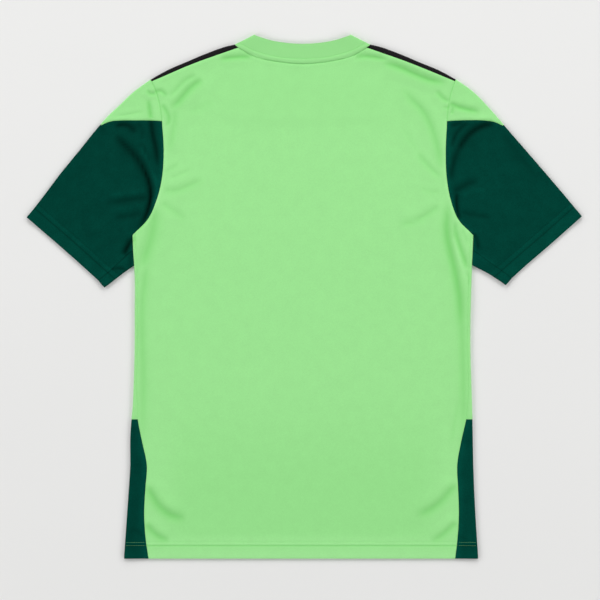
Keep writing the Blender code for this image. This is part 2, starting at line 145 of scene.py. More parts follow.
# Creases: the line of the trough, its half-width, the rise to the left and to the right of it, all
# in millimetres, how deep the trough is and how dark its painted shade, and the part of its length
# where it is deepest. A trough below 0 is a ridge that catches the light, drawn as a painted
# highlight.
CREASES = [
    # left shoulder
    ([(-140.9, 311), (-155.9, 301), (-168.7, 288.1), (-178.8, 276), (-191.6, 267.4)],
     9.5, 1.8, 1.6, 0.82, 0.42),
    ([(-149.4, 316.7), (-166.6, 308.9), (-179.5, 296), (-192.3, 283.1)], 7, 0.8, 0.6, 0.38, 0.45),
    ([(-211.6, 289.6), (-206.6, 293.2), (-200.2, 291.7), (-193.8, 284.6)], 5, 1, 1, 0.74, 0.45),
    ([(-202.3, 276), (-195.2, 265.3), (-190.9, 254.5), (-193.8, 240.2)], 5, 0.8, 0.6, 0.85, 0.4),
    ([(-183, 270.3), (-183, 251.7), (-185.9, 230.2), (-190.2, 203.1)], 9, 1.5, 1, 0.38, 0.4),
    ([(-126.6, 278.8), (-143.7, 270.3), (-163.7, 261.7)], 10, 0.4, 0.4, 0.14, 0.5),
    ([(-196.6, 177.3), (-186.6, 183), (-175.2, 191.6)], 5, 0.5, 0.5, 0.2, 0.3),
    ([(-190.9, 167.3), (-173.7, 174.5), (-156.6, 184.5)], 5, 0.4, 0.4, 0.12, 0.4),
    ([(-200.9, 152.3), (-185.2, 150.2), (-165.9, 155.9), (-139.4, 168.7)],
     9.5, 1.2, 0.8, 0.35, 0.35),
    ([(-202.3, 134.4), (-188, 123.7), (-164.5, 108.7)], 9, 0.8, 0.9, 0.28, 0.3),
    # left side
    ([(-210.2, 131.6), (-212.1, 105.8), (-216.4, 82.9), (-222.9, 61.5), (-230.1, 37.2)],
     14.5, 1.8, 0.8, 0.7, 0.55),
    ([(-218.8, 103), (-224.5, 75.8), (-230.9, 51.5), (-237.4, 27.2)], 4.5, 0.3, 0.6, 0.36, 0.5),
    ([(-222.4, 48.6), (-226.2, 15.7), (-229.5, -20), (-228.7, -70.1), (-227.4, -127.3),
      (-228.1, -177.3), (-228.1, -231.7)], 10, 1.4, 0.3, 0.52, 0.16),
    ([(-241, 22.9), (-233.8, 19.3), (-225.2, 17.2)], 4, 0.4, 0.3, 0.2, 0.3),
    # right shoulder
    ([(110.8, 334.6), (135.1, 328.2), (156.6, 319.2), (178, 310.3), (208.1, 303.9)],
     8.5, 0.7, 1.6, 1, 0.52),
    ([(140.1, 300.3), (156.6, 280.3), (172.3, 264.6), (184.5, 241), (193.8, 208.8), (198.8, 177.3)],
     9, 0.8, 1.1, 0.62, 0.58),
    ([(143.7, 240.2), (155.2, 220.2), (166.6, 203.1)], 8, 0.4, 0.4, 0.12, 0.5),
    ([(162.3, 207.4), (173.7, 193), (185.2, 180.9), (199.5, 167.3)], 8, 0.7, 0.9, 0.4, 0.55),
    ([(167.3, 155.2), (181.6, 148.7), (198.1, 148.7)], 8, 0.5, 0.4, 0.15, 0.6),
    ([(135.1, 101.5), (158.7, 106.5), (175.9, 115.1), (198.1, 131.6)], 9, 1.1, 0.9, 0.38, 0.6),
    ([(190.2, 294.6), (199.5, 284.6), (208.8, 277.4)], 6, 0.6, 0.8, 0.67, 0.7),
    ([(200.9, 270.3), (206.6, 269.6), (212.4, 270.3)], 4, 0.4, 0.4, 0.47, 0.5),
    # right side
    ([(209.5, 140.1), (206.6, 114.4), (205.9, 93), (209.5, 70.1), (215.2, 47.2), (220.2, 22.9),
      (224.5, -2.9), (225.9, -31.5), (227.4, -60.1)], 10, 1.8, 1.8, 1.08, 0.5),
    ([(220.9, 15.7), (225.9, -20), (228.1, -62.9), (229.5, -105.8), (229.5, -163), (228.1, -227.4)],
     9.5, 0.3, 1.3, 0.55, 0.22),
    ([(215.2, 85.8), (220.9, 62.9), (229.5, 37.2), (233.8, 17.2)], 4.5, 0, 0, -0.3, 0.45),
    ([(223.1, -145.9), (220.9, -165.9), (216.6, -188.8), (212.4, -214.5)],
     5.5, 0.3, 0.5, 0.26, 0.4),
    ([(216.6, 110.1), (218.8, 91.5), (223.8, 74.4), (230.2, 55.8), (236, 35.8)],
     6.5, 0.9, 1.2, 0.95, 0.62),
    ([(225.2, 108.7), (230.9, 91.5), (236.7, 70.1)], 5, 0.4, 0.5, 0.28, 0.4),
    ([(232.4, 35.8), (238.1, 25.7), (239.5, 14.3)], 4, 0.4, 0.4, 0.28, 0.5),
    # neck
    ([(-120.8, 338.2), (-98, 341.1), (-72.2, 342.8)], 6, 0.3, 0.9, 0.95, 0.62),
    ([(73.6, 343.2), (93.7, 342.5), (125.1, 337.5)], 6, 0.3, 0.9, 0.9, 0.32),
    # hem corners
    ([(-248.1, -341.1), (-241, -333.9), (-233.8, -338.9), (-225.9, -346.8)],
     4, 0.3, 0.3, 0.38, 0.5),
    ([(218.8, -342.5), (226.7, -344.6), (235.2, -348.9)], 3.6, 0.2, 0.2, 0.42, 0.35),
    ([(-223.8, -268.1), (-215.9, -283.9), (-205.2, -300.3), (-190.2, -312.5), (-163.7, -318.2)],
     11, 2.2, 0.8, 0.97, 0.42),
    ([(-224.5, -323.9), (-215.2, -336.1), (-203.1, -345.3), (-188, -348.9)],
     8.5, 1.7, 0.5, 0.91, 0.35),
    ([(222.4, -267.4), (210.9, -278.8), (198.8, -293.2), (183.8, -304.6), (160.2, -314.6)],
     10, 0.8, 1.9, 0.74, 0.35),
    ([(221.7, -322.5), (210.2, -332.5), (198.8, -342.5), (181.6, -351.1)], 8, 0.5, 1.6, 0.72, 0.32),
    # left cap and sleeve
    ([(-223.1, 296), (-216.6, 288.9), (-208.8, 290.3)], 5, 0.9, 0.9, 0.71, 0.6),
    ([(-220.9, 283.1), (-218.8, 268.8), (-216.6, 253.1)], 5.5, 0.9, 0.9, 1, 0.8),
    ([(-272.4, 256), (-249.5, 259.5), (-223.8, 264.6)], 4, 0.5, 0.4, 0.16, 0.6),
    ([(-217.4, 254.5), (-214.5, 233.1), (-210.2, 213.1), (-205.9, 180.2)],
     6.5, 0.5, 1.2, 1.5, 0.25),
    ([(-233.1, 222.4), (-223.8, 204.5), (-213.1, 177.3)], 5, 1, 1, 0.62, 0.45),
    ([(-269.6, 241), (-258.1, 245.2), (-248.1, 243.1), (-236.7, 231.7)], 7, 1, 0.8, 1.25, 0.5),
    ([(-236.7, 249.5), (-230.2, 238.8), (-228.1, 221.7)], 5, 0.6, 0.6, 0.55, 0.45),
    ([(-288.1, 246), (-283.9, 227.4)], 7, 0.4, 0.4, 0.32, 0.35),
    ([(-269.6, 231.7), (-253.8, 215.2), (-239.5, 200.2), (-228.8, 184.5), (-220.9, 165.9)],
     9.5, 2, 2.2, 1.4, 0.52),
    ([(-236.7, 200.2), (-227.1, 181.6), (-220.2, 164.5), (-217.1, 147.3), (-219.1, 130.1),
      (-224.8, 112.3), (-233.1, 97.2), (-240.2, 87.2)], 6.8, 0.8, 1.4, 1.85, 0.36),
    ([(-233.8, 215.9), (-224.5, 200.9), (-217.4, 187.3), (-211.6, 171.6)], 3.6, 0, 0, -0.7, 0.4),
    ([(-218.1, 183), (-210.9, 168.7), (-208.4, 153), (-210.2, 137.3), (-215.2, 123)],
     4.4, 0, 0, -0.95, 0.45),
    ([(-283.9, 143.7), (-255.3, 146.6), (-222.4, 151.6)], 6, 0, 0, -0.38, 0.55),
    ([(-278.1, 122.3), (-252.4, 125.1), (-225.2, 130.8)], 6, 0, 0, -0.3, 0.55),
    ([(-248.1, 53.6), (-262.4, 45.8), (-281, 33.6)], 5, 0, 0, -0.4, 0.4),
    ([(-287.4, 132.3), (-263.8, 134.4), (-241, 138), (-216.6, 139.4)], 8.5, 1.7, 1.7, 0.7, 0.75),
    ([(-271, 110.8), (-249.5, 113.7), (-228.8, 118)], 8, 1.4, 1, 0.56, 0.65),
    ([(-241, 85.8), (-247.4, 75.8), (-252.4, 66.5), (-256.7, 57.2)], 7, 0.3, 1.2, 1.6, 0.45),
    ([(-244.5, 65.8), (-244.5, 52.9), (-246.7, 38.6)], 4.5, 0.2, 0.2, 0.7, 0.5),
    ([(-275.3, 36.5), (-263.8, 39.3), (-251, 37.2)], 3.8, 0.6, 0.5, 0.8, 0.5),
    # right cap and sleeve
    ([(208.8, 276), (224.5, 269.6), (238.8, 266), (256.7, 263.1)], 7.5, 1, 1.5, 1.01, 0.28),
    ([(213.1, 259.5), (214.5, 264.6), (215.9, 271)], 4.5, 0.5, 0.5, 0.66, 0.5),
    ([(276.7, 246.7), (259.5, 243.8), (243.1, 235.2), (229.5, 220.2), (219.5, 200.2)],
     8, 2.3, 1.7, 1.62, 0.4),
    ([(233.8, 225.9), (225.2, 213.1), (218.8, 198.8), (214.5, 183), (211.6, 160.2)],
     7, 1.2, 1.2, 1.05, 0.35),
    ([(213.8, 234.5), (210.9, 215.9), (210.2, 194.5), (210.9, 177.3)], 4, 0, 0, -0.4, 0.5),
    ([(228.1, 143), (242.4, 149.4), (263.8, 153)], 6.5, 0, 0, -0.45, 0.4),
    ([(248.1, 60.1), (262.4, 52.2), (278.1, 42.2)], 5, 0, 0, -0.5, 0.5),
    ([(238.1, 249.5), (225.9, 239.5), (217.4, 227.4), (212.4, 210.2)], 5, 0.9, 0.9, 1.05, 0.4),
    ([(229.5, 249.5), (219.5, 245.2), (210.9, 242.4)], 4.5, 0.5, 0.5, 1, 0.5),
    ([(215.2, 148), (225.9, 154.4), (237.4, 160.9), (253.8, 164.5)], 8, 1.4, 1.4, 0.88, 0.28),
    ([(220.9, 151.6), (220.2, 131.6), (224.5, 107.2)], 5, 0.7, 0.4, 1.52, 0.6),
    ([(223.8, 120.8), (239.5, 116.5), (253.8, 114.4), (272.4, 113)], 7, 0.9, 0.9, 0.55, 0.45),
    ([(283.9, 237.4), (295.3, 217.4), (315.3, 193), (341.1, 163)], 10, 0.5, 0.5, 0.34, 0.35),
    ([(243.8, 91.5), (248.8, 80.1), (251.7, 64.4)], 5.5, 1, 0.3, 1, 0.5),
]
CREASE_CHORDS = 10
SWELL_REACH = 2.8  # in half-widths of the trough
SWELL_BLEND = 3.0  # how sharply the higher of two swells wins
VALLEY_WIDTH = 0.62
VALLEY_POWER = 1.6
FADE_POWER = 3
TROUGH = 0.0009  # how far a strong valley dips below the flat cloth

# Seams and hems
SEAM_ROLL = 0.00045  # how far the cloth rolls down at a seam
SEAM_ROLL_WIDTH = 0.0011
SEAM_PAD = 0.00025  # rise over the turned allowance beside a seam
SEAM_PAD_AT = 0.0038
SEAM_PAD_WIDTH = 0.0026
SLEEVE_SINK = 0.00045  # how far the sleeve dips below the body at the armhole
SLEEVE_SINK_WIDTH = 0.0040
# Painted shade in the seams' grooves, and in the fine lines of seams pulled tight
SEAM_SHADE = 0.25
THIN_SEAM = 0.0007
THIN_SEAM_SHADE = 0.45
UNDERARM_SHADE = 1.0
SEAM_LIGHT = -0.20  # painted highlight: a brighter pad beside the armhole
SEAM_LIGHT_AT = 0.0024
SEAM_LIGHT_WIDTH = 0.0016
# Painted highlight on the sleeve beside the armhole, as a shade below 0
SLEEVE_SINK_SHADE = -0.50
# painted shade of the fine line at the sleeve's seams
SLEEVE_SEAM_SHADE = 0.60
# Painted highlights on the gussets, over the seam's allowance and at the fold
GUSSET_PAD_AT = 0.0020
GUSSET_PAD_WIDTH = 0.0050
GUSSET_PAD_SHADE = -0.60
GUSSET_EDGE_WIDTH = 0.0030
GUSSET_EDGE_SHADE = -0.25
HEM_ROWS = (0.0187, 0.0233)  # distances of the rows of stitches from the body's edge
HEM_SHADES = (0.0, 0.0175, 0.0210), (-0.25, 0.06, -0.15)  # distances from the edge, and the painted shade there; below 0, a painted highlight
HEM_GROOVES = (0.95, 0.25)  # painted shade in the groove of each row of stitches
CUFF_ROWS = (0.0173, 0.0245)
# painted highlight over the turned cuff
CUFF_SHADE = -0.36
# painted shade in the groove of each row
CUFF_GROOVES = (0.90, 0.35)
HEM_RAISE = 0.00030
ROW_DIP = 0.00028
ROW_WIDTHS = (0.0010, 0.0007)
ROW_LEVELS = (-0.0014, -0.0007, 0.0, 0.0007, 0.0014)  # where the grid has lines beside a row
EDGE_LEVELS = (0.0006, 0.0014)  # the same beside an edge
CUFF_LEVELS = (0.0040, 0.0080, 0.0120, 0.0212, 0.0275)  # and in the rest of the cuff
STRIP_RAISE = 0.00045  # of the strip between the collar's rib and its seam
STRIP_RAMP = 0.0012
STRIP_LINE = 0.0008
STRIP_GROOVE = 0.6  # of the raise, along the strip's edge
# Painted highlight over the collar's strip, and painted shade along its edge
STRIP_SHADE = -0.08
STRIP_LINE_SHADE = 0.30
RIB_RAISE = 0.0004
RIB_ARC = 0.0024  # half of the way round the collar's fold
HIGH_SHADE = 0.09  # painted shade: how much darker the shoulders are
HIGH_Y = 0.2000
HIGH_RAMP = 0.1000
SAG_TOP = -0.1100  # from here down the lower back sags
SAG_RAMP = 0.1800
SAG_END = 0.0150
SAG_HALF = 0.2150
SAG_SIDE = 0.0600
SAG_DIP = 0.0004
# painted shade over the sag
SAG_SHADE = 0.22
STITCH_PITCH = 0.0030
STITCH_LENGTH = 0.0021
STITCH_WIDTH = 0.00034
STITCH_RISE = 0.00006

# Finishes
COLUMN = 0.0009  # width of a column of loops
COURSE = 0.0007  # height of a row of loops
COLUMN_PART = 0.7  # of the loops' relief
COURSE_LEAN = 1.5  # how far a column shifts its courses
LOOP_MEAN = 0.45
RIB_PITCH = 0.0012
PLY_PITCH = 0.0006
SLEEVE_TURN = 0.87  # from the body's columns of loops to the sleeve's
CLOUD_SCALE = 60.0
CLOUD_DETAIL = 3.0
GRAIN_SCALE = 620.0
FUZZ_SCALE = 1400.0
LOOP = 0.14  # contrasts, as part of the spread
GRAIN = 0.31
CLOUD = 0.19
DARK_GRAIN = 1.7
DARK_CLOUD = 1.0
FUZZ = 0.18  # of the grain
SPREAD = 0.20  # of lightness
HOLLOW_LOSS = 0.52  # painted shade: light that is left in a deep hollow
HOLLOW_RETURN = 0.42  # what more there is, for a cloth that passes all light on
DARK_DYE = (0.3, 1.0, 1.0)  # the dark dye takes up nearly all red
DARK_LIGHT = 0.95
PAINTED_SIDE_LIGHT = 0.03  # painted light: how much paler the right is than the middle
RIB_LIGHT = 0.96
THREAD_LIGHT = 0.4  # of the cuff thread against its cloth; its darkness is painted shade of its rows

# Stage
FLOOR_HALF = 25.0
FLOOR_DROP = 0.0004  # below the jersey
FLOOR_CLOUD_SCALE = 3.0
SENSOR = 36.0
VIEW_CENTRE = (-0.0036, -0.0057)
ROOM_LIGHT = 0.2
LAMP_RISE = math.radians(28.0)
LAMP_DISTANCE = 5.0
LAMP_SIZE = 2.2
LAMPS = (
    # name, azimuth in degrees, power in watts
    ("top_light", 90, 125.0),
    ("upper_right_light", 30, 85.0),
    ("upper_left_light", 150, 85.0),
    ("lower_right_light", -30, 64.0),
    ("lower_left_light", -150, 64.0),
    ("low_light", -90, 32.0),
)


# ---------------------------------------------------------------- curves and grids

def smooth(points, chords):
    """Ends of equal chords along a soft curve through the given points."""
    points = np.array(points, float)
    along = np.concatenate([[0], np.cumsum(np.linalg.norm(np.diff(points, axis=0), axis=1))])
    slope = np.gradient(points, along, axis=0)
    at = np.linspace(0, along[-1], FINE)
    part = np.clip(np.searchsorted(along, at, side="right") - 1, 0, len(along) - 2)
    step = (along[part + 1] - along[part])[:, None]
    t = (at - along[part])[:, None] / step
    curve = ((1 + 2 * t) * (1 - t) ** 2 * points[part] + t * (1 - t) ** 2 * step * slope[part]
             + t * t * (3 - 2 * t) * points[part + 1] + t * t * (t - 1) * step * slope[part + 1])
    length = np.concatenate([[0], np.cumsum(np.linalg.norm(np.diff(curve, axis=0), axis=1))])
    stops = np.linspace(0, length[-1], chords + 1)
    return np.column_stack([np.interp(stops, length, part) for part in curve.T])


def centred(points, chords):
    """The same, along a curve that ends square to the middle line."""
    points = np.array(points, float)
    return smooth(join(points, mirrored(points)[::-1]), 2 * chords)[:chords + 1]


def join(*curves):
    """One curve from several that meet end to end."""
    return np.concatenate([curves[0]] + [curve[1:] for curve in curves[1:]])


def mirrored(curve):
    return curve * (-1, 1)


def both_halves(curve):
    """A curve that ends on the middle line, carried on to the other half: left to right."""
    return join(mirrored(curve), curve[::-1])


def outward(curve):
    """Unit vectors square to a curve, to the left of its direction."""
    along = np.gradient(curve, axis=0)
    along /= np.linalg.norm(along, axis=1)[:, None]
    return np.column_stack([-along[:, 1], along[:, 0]])


def marked(curve, reach, levels):
    """A curve with extra points at the given levels of its reach, which falls or rises along it."""
    order = np.argsort(reach)
    stops = np.unique(np.concatenate([reach, levels]))
    added = np.column_stack([np.interp(stops, reach[order], part[order]) for part in curve.T])
    return added if reach[0] < reach[-1] else added[::-1]


def crowd(curve):
    """A curve with more points in its first and last chord."""
    first = [curve[0] + (curve[1] - curve[0]) * step for step in EDGE_STEPS]
    last = [curve[-1] + (curve[-2] - curve[-1]) * step for step in EDGE_STEPS[::-1]]
    return np.concatenate([curve[:1], first, curve[1:-1], last, curve[-1:]])


def ramp(t):
    """A soft step from 0 at 0 to 1 at 1."""
    t = np.clip(t, 0, 1)
    return t * t * (3 - 2 * t)


def weights(count, plateaus):
    """How far each line of a grid follows the far edge: 0 and 1 over the plateaus at its ends."""
    t = crowd(np.linspace(0, 1, count))
    return ramp((t - plateaus[0]) / (1 - sum(plateaus))) if any(plateaus) else t


def fill(low, high, left, right, across_plateaus=(0, 0), up_plateaus=(0, 0)):
    """Points that fill four curves; low and high run left to right, left and right run up."""
    u = weights(len(low), across_plateaus)[None, :, None]
    v = weights(len(left), up_plateaus)[:, None, None]
    low, high, left, right = (crowd(curve) for curve in (low, high, left, right))
    across = (1 - v) * low[None] + v * high[None]
    up = (1 - u) * left[:, None] + u * right[:, None]
    corners = (1 - v) * ((1 - u) * low[0] + u * low[-1]) + v * ((1 - u) * high[0] + u * high[-1])
    return across + up - corners


def strip(first, second, chords):
    """Points between two curves."""
    t = crowd(np.linspace(0, 1, chords + 1))[:, None, None]
    return (1 - t) * first[None] + t * second[None]


def beside(x, y, line):
    """Distance of points from a line, more than 0 to its left, and the part of its length there."""
    lengths = np.linalg.norm(np.diff(line, axis=0), axis=1)
    starts = np.cumsum(lengths) - lengths
    aside = np.full(x.shape, 1.0)
    along = np.zeros(x.shape)
    for (ax, ay), (bx, by), length, start in zip(line[:-1], line[1:], lengths, starts):
        dx, dy = (bx - ax) / length, (by - ay) / length
        reach = np.clip((x - ax) * dx + (y - ay) * dy, 0, length)
        gap = np.hypot(x - ax - reach * dx, y - ay - reach * dy)
        nearer = gap < np.abs(aside)
        side = np.where(dx * (y - ay) - dy * (x - ax) < 0, -1, 1)
        aside = np.where(nearer, side * gap, aside)
        along = np.where(nearer, (start + reach) / lengths.sum(), along)
    return aside, along


def bump(t):
    """A soft hill of height 1 at 0 that ends at -1 and 1."""
    return np.where(np.abs(t) < 1, (1 - np.minimum(t * t, 1)) ** 2, 0)


def bell(t):
    """A hill of height 1 at 0 that never quite ends."""
    return np.exp(-t * t)


# ---------------------------------------------------------------- pattern

class Pattern:
    """Folds and seams of the right half, cut into chords of the wanted fineness."""

    def __init__(self, fineness):
        count = {name: chords * fineness for name, chords in CHORDS.items()}
        self.fineness = fineness
        self.count = count
        parts = ((COLLAR_FOLD, "collar_fold"), (SHOULDER_FOLD, "shoulder"),
                 (CAP_FOLD, "cap_fold"), (SLEEVE_FOLD, "sleeve"))
        fold = join(*(smooth(points, count[name]) for points, name in parts))
        ends = np.cumsum([0] + [count[name] for points, name in parts])
        collar, insert, cap, sleeve = (slice(a, b + 1) for a, b in zip(ends[:-1], ends[1:]))
        tangent = fold - REACH * outward(fold)
        self.top_fold = fold
        self.collar_turn = tangent[collar], fold[collar]
        self.insert_turn = tangent[insert], fold[insert]
        self.cap_turn = tangent[cap], fold[cap]
        cuff_start = np.array(CUFF_SEAM)
        cuff_along = tangent[-1] - cuff_start
        cuff_along /= np.linalg.norm(cuff_along)
        self.cuff_start = cuff_start
        self.cuff_inward = np.array([-cuff_along[1], cuff_along[0]])
        self.sleeve_turn = self.cuffed(tangent[sleeve]), self.cuffed(fold[sleeve])

        side_fold = smooth(BODY_SIDE[:5], count["side"])
        gusset_fold = smooth(BODY_SIDE[4:], count["gusset"])
        side_tangent = join(side_fold, gusset_fold) - (REACH, 0)
        side_tangent[0, 1] += UNDERARM_TURN
        turn = count["side"]
        self.side_fold = join(side_fold, gusset_fold)
        self.side_turn = side_tangent[:turn + 1], side_fold
        self.gusset_turn = self.hemmed(side_tangent[turn:]), self.hemmed(gusset_fold)

        flap_start = (self.body_half(FLAP_Y) + SEAM_GAP / 2, FLAP_Y)
        flap_fold = smooth([flap_start, FLAP_MIDDLE, CUFF_CORNER], count["sleeve"])
        flap_tangent = flap_fold + REACH * outward(flap_fold)
        flap_tangent[0] = flap_start[0], np.interp(flap_start[0], *flap_tangent[:2].T)
        self.flap_fold = flap_fold
        self.flap_turn = self.cuffed(flap_tangent), self.cuffed(flap_fold)

        self.shoulder = smooth(SHOULDER_SEAM, count["shoulder"])
        self.collar = centred(COLLAR_SEAM, count["collar"])
        self.cap_armhole = smooth(ARMHOLE_CAP, count["cap"])
        self.sleeve_armhole = smooth(ARMHOLE_SLEEVE, count["armhole"])
        self.gusset = self.hemmed(smooth(GUSSET_SEAM, count["gusset"]))
        inset = np.interp(side_fold[:, 1], (GUSSET_TOP_Y, SEAM_TURN_Y, UNDERARM_Y),
                          (SEAM_INSET_LOW, SEAM_INSET_TOP, SEAM_INSET_TOP))
        self.side = side_fold - np.column_stack([inset, 0 * inset])
        self.side[0] = ARMHOLE_SLEEVE[-1]
        self.cap = smooth(CAP_SEAM + [tangent[cap][-1]], count["cap"] + fineness)
        self.neck = centred([tangent[insert][0]] + FRONT_NECK, count["neck"])
        self.neck_end, self.armhole_end = INSERT_NECK * fineness, INSERT_ARMHOLE * fineness
        insert_ends = self.neck[self.neck_end], self.cap_armhole[self.armhole_end]
        self.insert = smooth(insert_ends, count["shoulder"])
        self.body_edge = join(self.gusset[::-1], self.side[::-1], self.sleeve_armhole[::-1])

    def body_half(self, y):
        """Half-width of the folded body at a height."""
        side = smooth(BODY_SIDE, FINE)[::-1]
        return np.interp(y, side[:, 1], side[:, 0])

    def hem(self, chords):
        """The hem's right half, from the gusset to the middle line."""
        outer = smooth([self.gusset[-1], (HEM_SPLIT, HEM_Y)], self.count["shoulder"])
        return join(outer, smooth([(HEM_SPLIT, HEM_Y), (0, HEM_Y)], chords))

    def cuff_reach(self, x, y):
        """Distance from the line of the cuff, into the sleeve."""
        (start_x, start_y), (inward_x, inward_y) = self.cuff_start, self.cuff_inward
        return (x - start_x) * inward_x + (y - start_y) * inward_y

    def hemmed(self, curve):
        """A curve that ends at the body's hem, with points beside its rows of stitches."""
        levels = EDGE_LEVELS + tuple(row + level for row in HEM_ROWS for level in ROW_LEVELS)
        return marked(curve, curve[:, 1] - HEM_Y, levels)

    def cuffed(self, curve):
        """A curve that ends at the sleeve's cuff, with its last points at the hem's levels."""
        reach = self.cuff_reach(*curve.T)
        rows = tuple(row + level for row in CUFF_ROWS for level in ROW_LEVELS)
        levels = np.sort(EDGE_LEVELS + CUFF_LEVELS + rows)[::-1]
        hem = np.column_stack([np.interp(levels, reach[::-1], part[::-1]) for part in curve.T])
        rest = np.vstack([curve[reach > levels[0]], hem[:1]])
        return join(smooth(rest, CUFF_START * self.fineness), np.vstack([hem, curve[-1:]]))


COARSE = Pattern(1)
MIDDLE = Pattern(2)
CLOSE = Pattern(4)
BODY_FOLDS = (COARSE.top_fold, COARSE.side_fold)
SLEEVE_FOLDS = (COARSE.top_fold, COARSE.flap_fold)


# ---------------------------------------------------------------- heights

def faded(along, peak):
    """Strength of a crease along its length: full at its peak, nothing at its ends."""
    away = np.where(along < peak, (peak - along) / peak, (along - peak) / (1 - peak))
    return bump(away ** FADE_POWER)


def pulled(x, y):
    """Where each point of the even cut comes to lie."""
    moved = np.array([x, y], float)
    for (middle_x, middle_y), (across, up), move in np.multiply(PULLS, MM):
        share = bump(np.hypot((x - middle_x) / across, (y - middle_y) / up))
        moved += np.multiply.outer(move, share)
    return moved


def creased(x, y):
    """Rise of the creases, soft swells with a valley along each line, and their dip and painted
    shade.
    """
    x, y = pulled(x, y)
    swell = np.zeros(x.shape)
    valleys = np.ones(x.shape)
    dip_and_painted_shade = np.zeros(x.shape)
    light = np.zeros(x.shape)
    for points, *sizes, trough, peak in CREASES:
        line = smooth(np.multiply(points, MM), CREASE_CHORDS)
        spread, left, right = np.multiply(sizes, MM)
        margin = SWELL_REACH * spread
        low, high = line.min(axis=0) - margin, line.max(axis=0) + margin
        near = (x > low[0]) & (x < high[0]) & (y > low[1]) & (y < high[1])
        if near.any():
            aside, along = beside(x[near], y[near], line)
            aside = aside / spread
            fade = faded(along, peak)
            valley = fade * np.exp(-(np.abs(aside) / VALLEY_WIDTH) ** VALLEY_POWER)
            # a ridge gets a painted highlight: a shade below 0, and a slight rise
            if trough < 0:
                light[near] = np.minimum(light[near], trough * valley)
                continue
            rise = right + (left - right) * ramp(aside + 0.5)
            swell[near] += (fade * rise * bump(aside / SWELL_REACH)) ** SWELL_BLEND
            valleys[near] *= 1 - valley
            dip_and_painted_shade[near] = np.maximum(dip_and_painted_shade[near], trough * valley)
    return swell ** (1 / SWELL_BLEND) * valleys * jersey().crease_height, dip_and_painted_shade + light


def gap_to(x, y, line):
    """Distance to a line of the right half, on either half."""
    return np.abs(beside(np.abs(x), y, line)[0])


# Each of the next functions gives two rows: height, and the painted shade, how much darker the
# cloth is drawn than where it lies flat, as if it lay in a hollow; below 0 it is a painted
# highlight.

def shaded(dark):
    """Painted shade on cloth, at the same height."""
    return np.array([0 * dark, dark])


def seamed(x, y, lines, shade=SEAM_SHADE):
    """Roll of the cloth at its seams and the pad beside them, with painted shade in the roll."""
    gap = np.min([gap_to(x, y, line) for line in lines], axis=0)
    pad = SEAM_PAD * bell((gap - SEAM_PAD_AT) / SEAM_PAD_WIDTH)
    groove = bell(gap / SEAM_ROLL_WIDTH)
    return np.array([pad - SEAM_ROLL * groove, shade * groove])


def thin_seam(x, y, line, shade):
    """A seam that is pulled tight, seen as a fine dark line of painted shade."""
    return shaded(shade * bell(gap_to(x, y, line) / THIN_SEAM))


def hemmed(reach, rows, shade, grooves):
    """Rise of a turned hem of the given painted shade, with a dip and painted shade at each stitch
    row.
    """
    inside = 1 - ramp((reach - rows[1]) / ROW_WIDTHS[1])
    height = HEM_RAISE * inside - SEAM_ROLL * bell(reach / ROW_WIDTHS[0])
    dark = shade * inside
    for row, groove, width in zip(rows, grooves, ROW_WIDTHS):
        dip = bell((reach - row) / width)
        height = height - ROW_DIP * dip
        dark = dark + groove * dip
    return np.array([height, dark])


def body_hemmed(x, y):
    reach = y - HEM_Y
    return hemmed(reach, HEM_ROWS, np.interp(reach, *HEM_SHADES), HEM_GROOVES)


def sleeve_hemmed(x, y):
    return hemmed(COARSE.cuff_reach(np.abs(x), y), CUFF_ROWS, CUFF_SHADE, CUFF_GROOVES)


def upper(x, y, folds):
    """Outer face of the upper layer: it lies on the lower one and rises to each fold."""
    reach = np.min([gap_to(x, y, fold) for fold in folds], axis=0)
    loft = (FOLD_TOP - UPPER_TOP) * bump(reach / LOFT_REACH)
    neck = NECK_RISE * ramp((y - NECK_Y) / NECK_RAMP) * ramp((NECK_X - np.abs(x)) / NECK_RAMP)
    rise, dip_and_painted_shade = creased(x, y)
    # painted shade that darkens the shoulders
    high = HIGH_SHADE * ramp((y - HIGH_Y) / HIGH_RAMP)
    return np.array([UPPER_TOP + loft + neck + rise - TROUGH * np.minimum(dip_and_painted_shade, 1), dip_and_painted_shade + high])


def sagged(x, y):
    """Broad sag of the lower back, between the side folds and the hem, darkened by painted shade.
    """
    sag = (ramp((SAG_TOP - y) / SAG_RAMP) * ramp((y - HEM_Y - HEM_ROWS[1]) / SAG_END)
           * ramp((SAG_HALF - np.abs(x)) / SAG_SIDE))
    return np.array([-SAG_DIP * sag, SAG_SHADE * sag])


def body_top(x, y):
    """The back, with a painted highlight beside the armhole."""
    seams = (COARSE.shoulder, COARSE.collar, COARSE.body_edge, COARSE.cap_armhole)
    # painted highlight beside the armhole
    light = bell((gap_to(x, y, COARSE.sleeve_armhole) - SEAM_LIGHT_AT) / SEAM_LIGHT_WIDTH)
    return (upper(x, y, BODY_FOLDS) + seamed(x, y, seams) + sagged(x, y)
            + thin_seam(x, y, COARSE.cap_armhole, THIN_SEAM_SHADE) + body_hemmed(x, y)
            + shaded(SEAM_LIGHT * light))


def side_top(x, y):
    """The front panel's edge, which lies on the back."""
    top = GUSSET_TOP_Y
    across = np.array([(COARSE.gusset[0][0], top), (COARSE.body_half(top), top)])
    return (upper(x, y, BODY_FOLDS) + seamed(x, y, (COARSE.body_edge, across))
            + body_hemmed(x, y))


def gusset_top(x, y):
    """The side, with painted highlights over the allowance along its seam and at its fold."""
    pad = bell((gap_to(x, y, COARSE.gusset) - GUSSET_PAD_AT) / GUSSET_PAD_WIDTH)
    edge = bell(gap_to(x, y, COARSE.side_fold) / GUSSET_EDGE_WIDTH)
    return side_top(x, y) + shaded(GUSSET_PAD_SHADE * pad + GUSSET_EDGE_SHADE * edge)


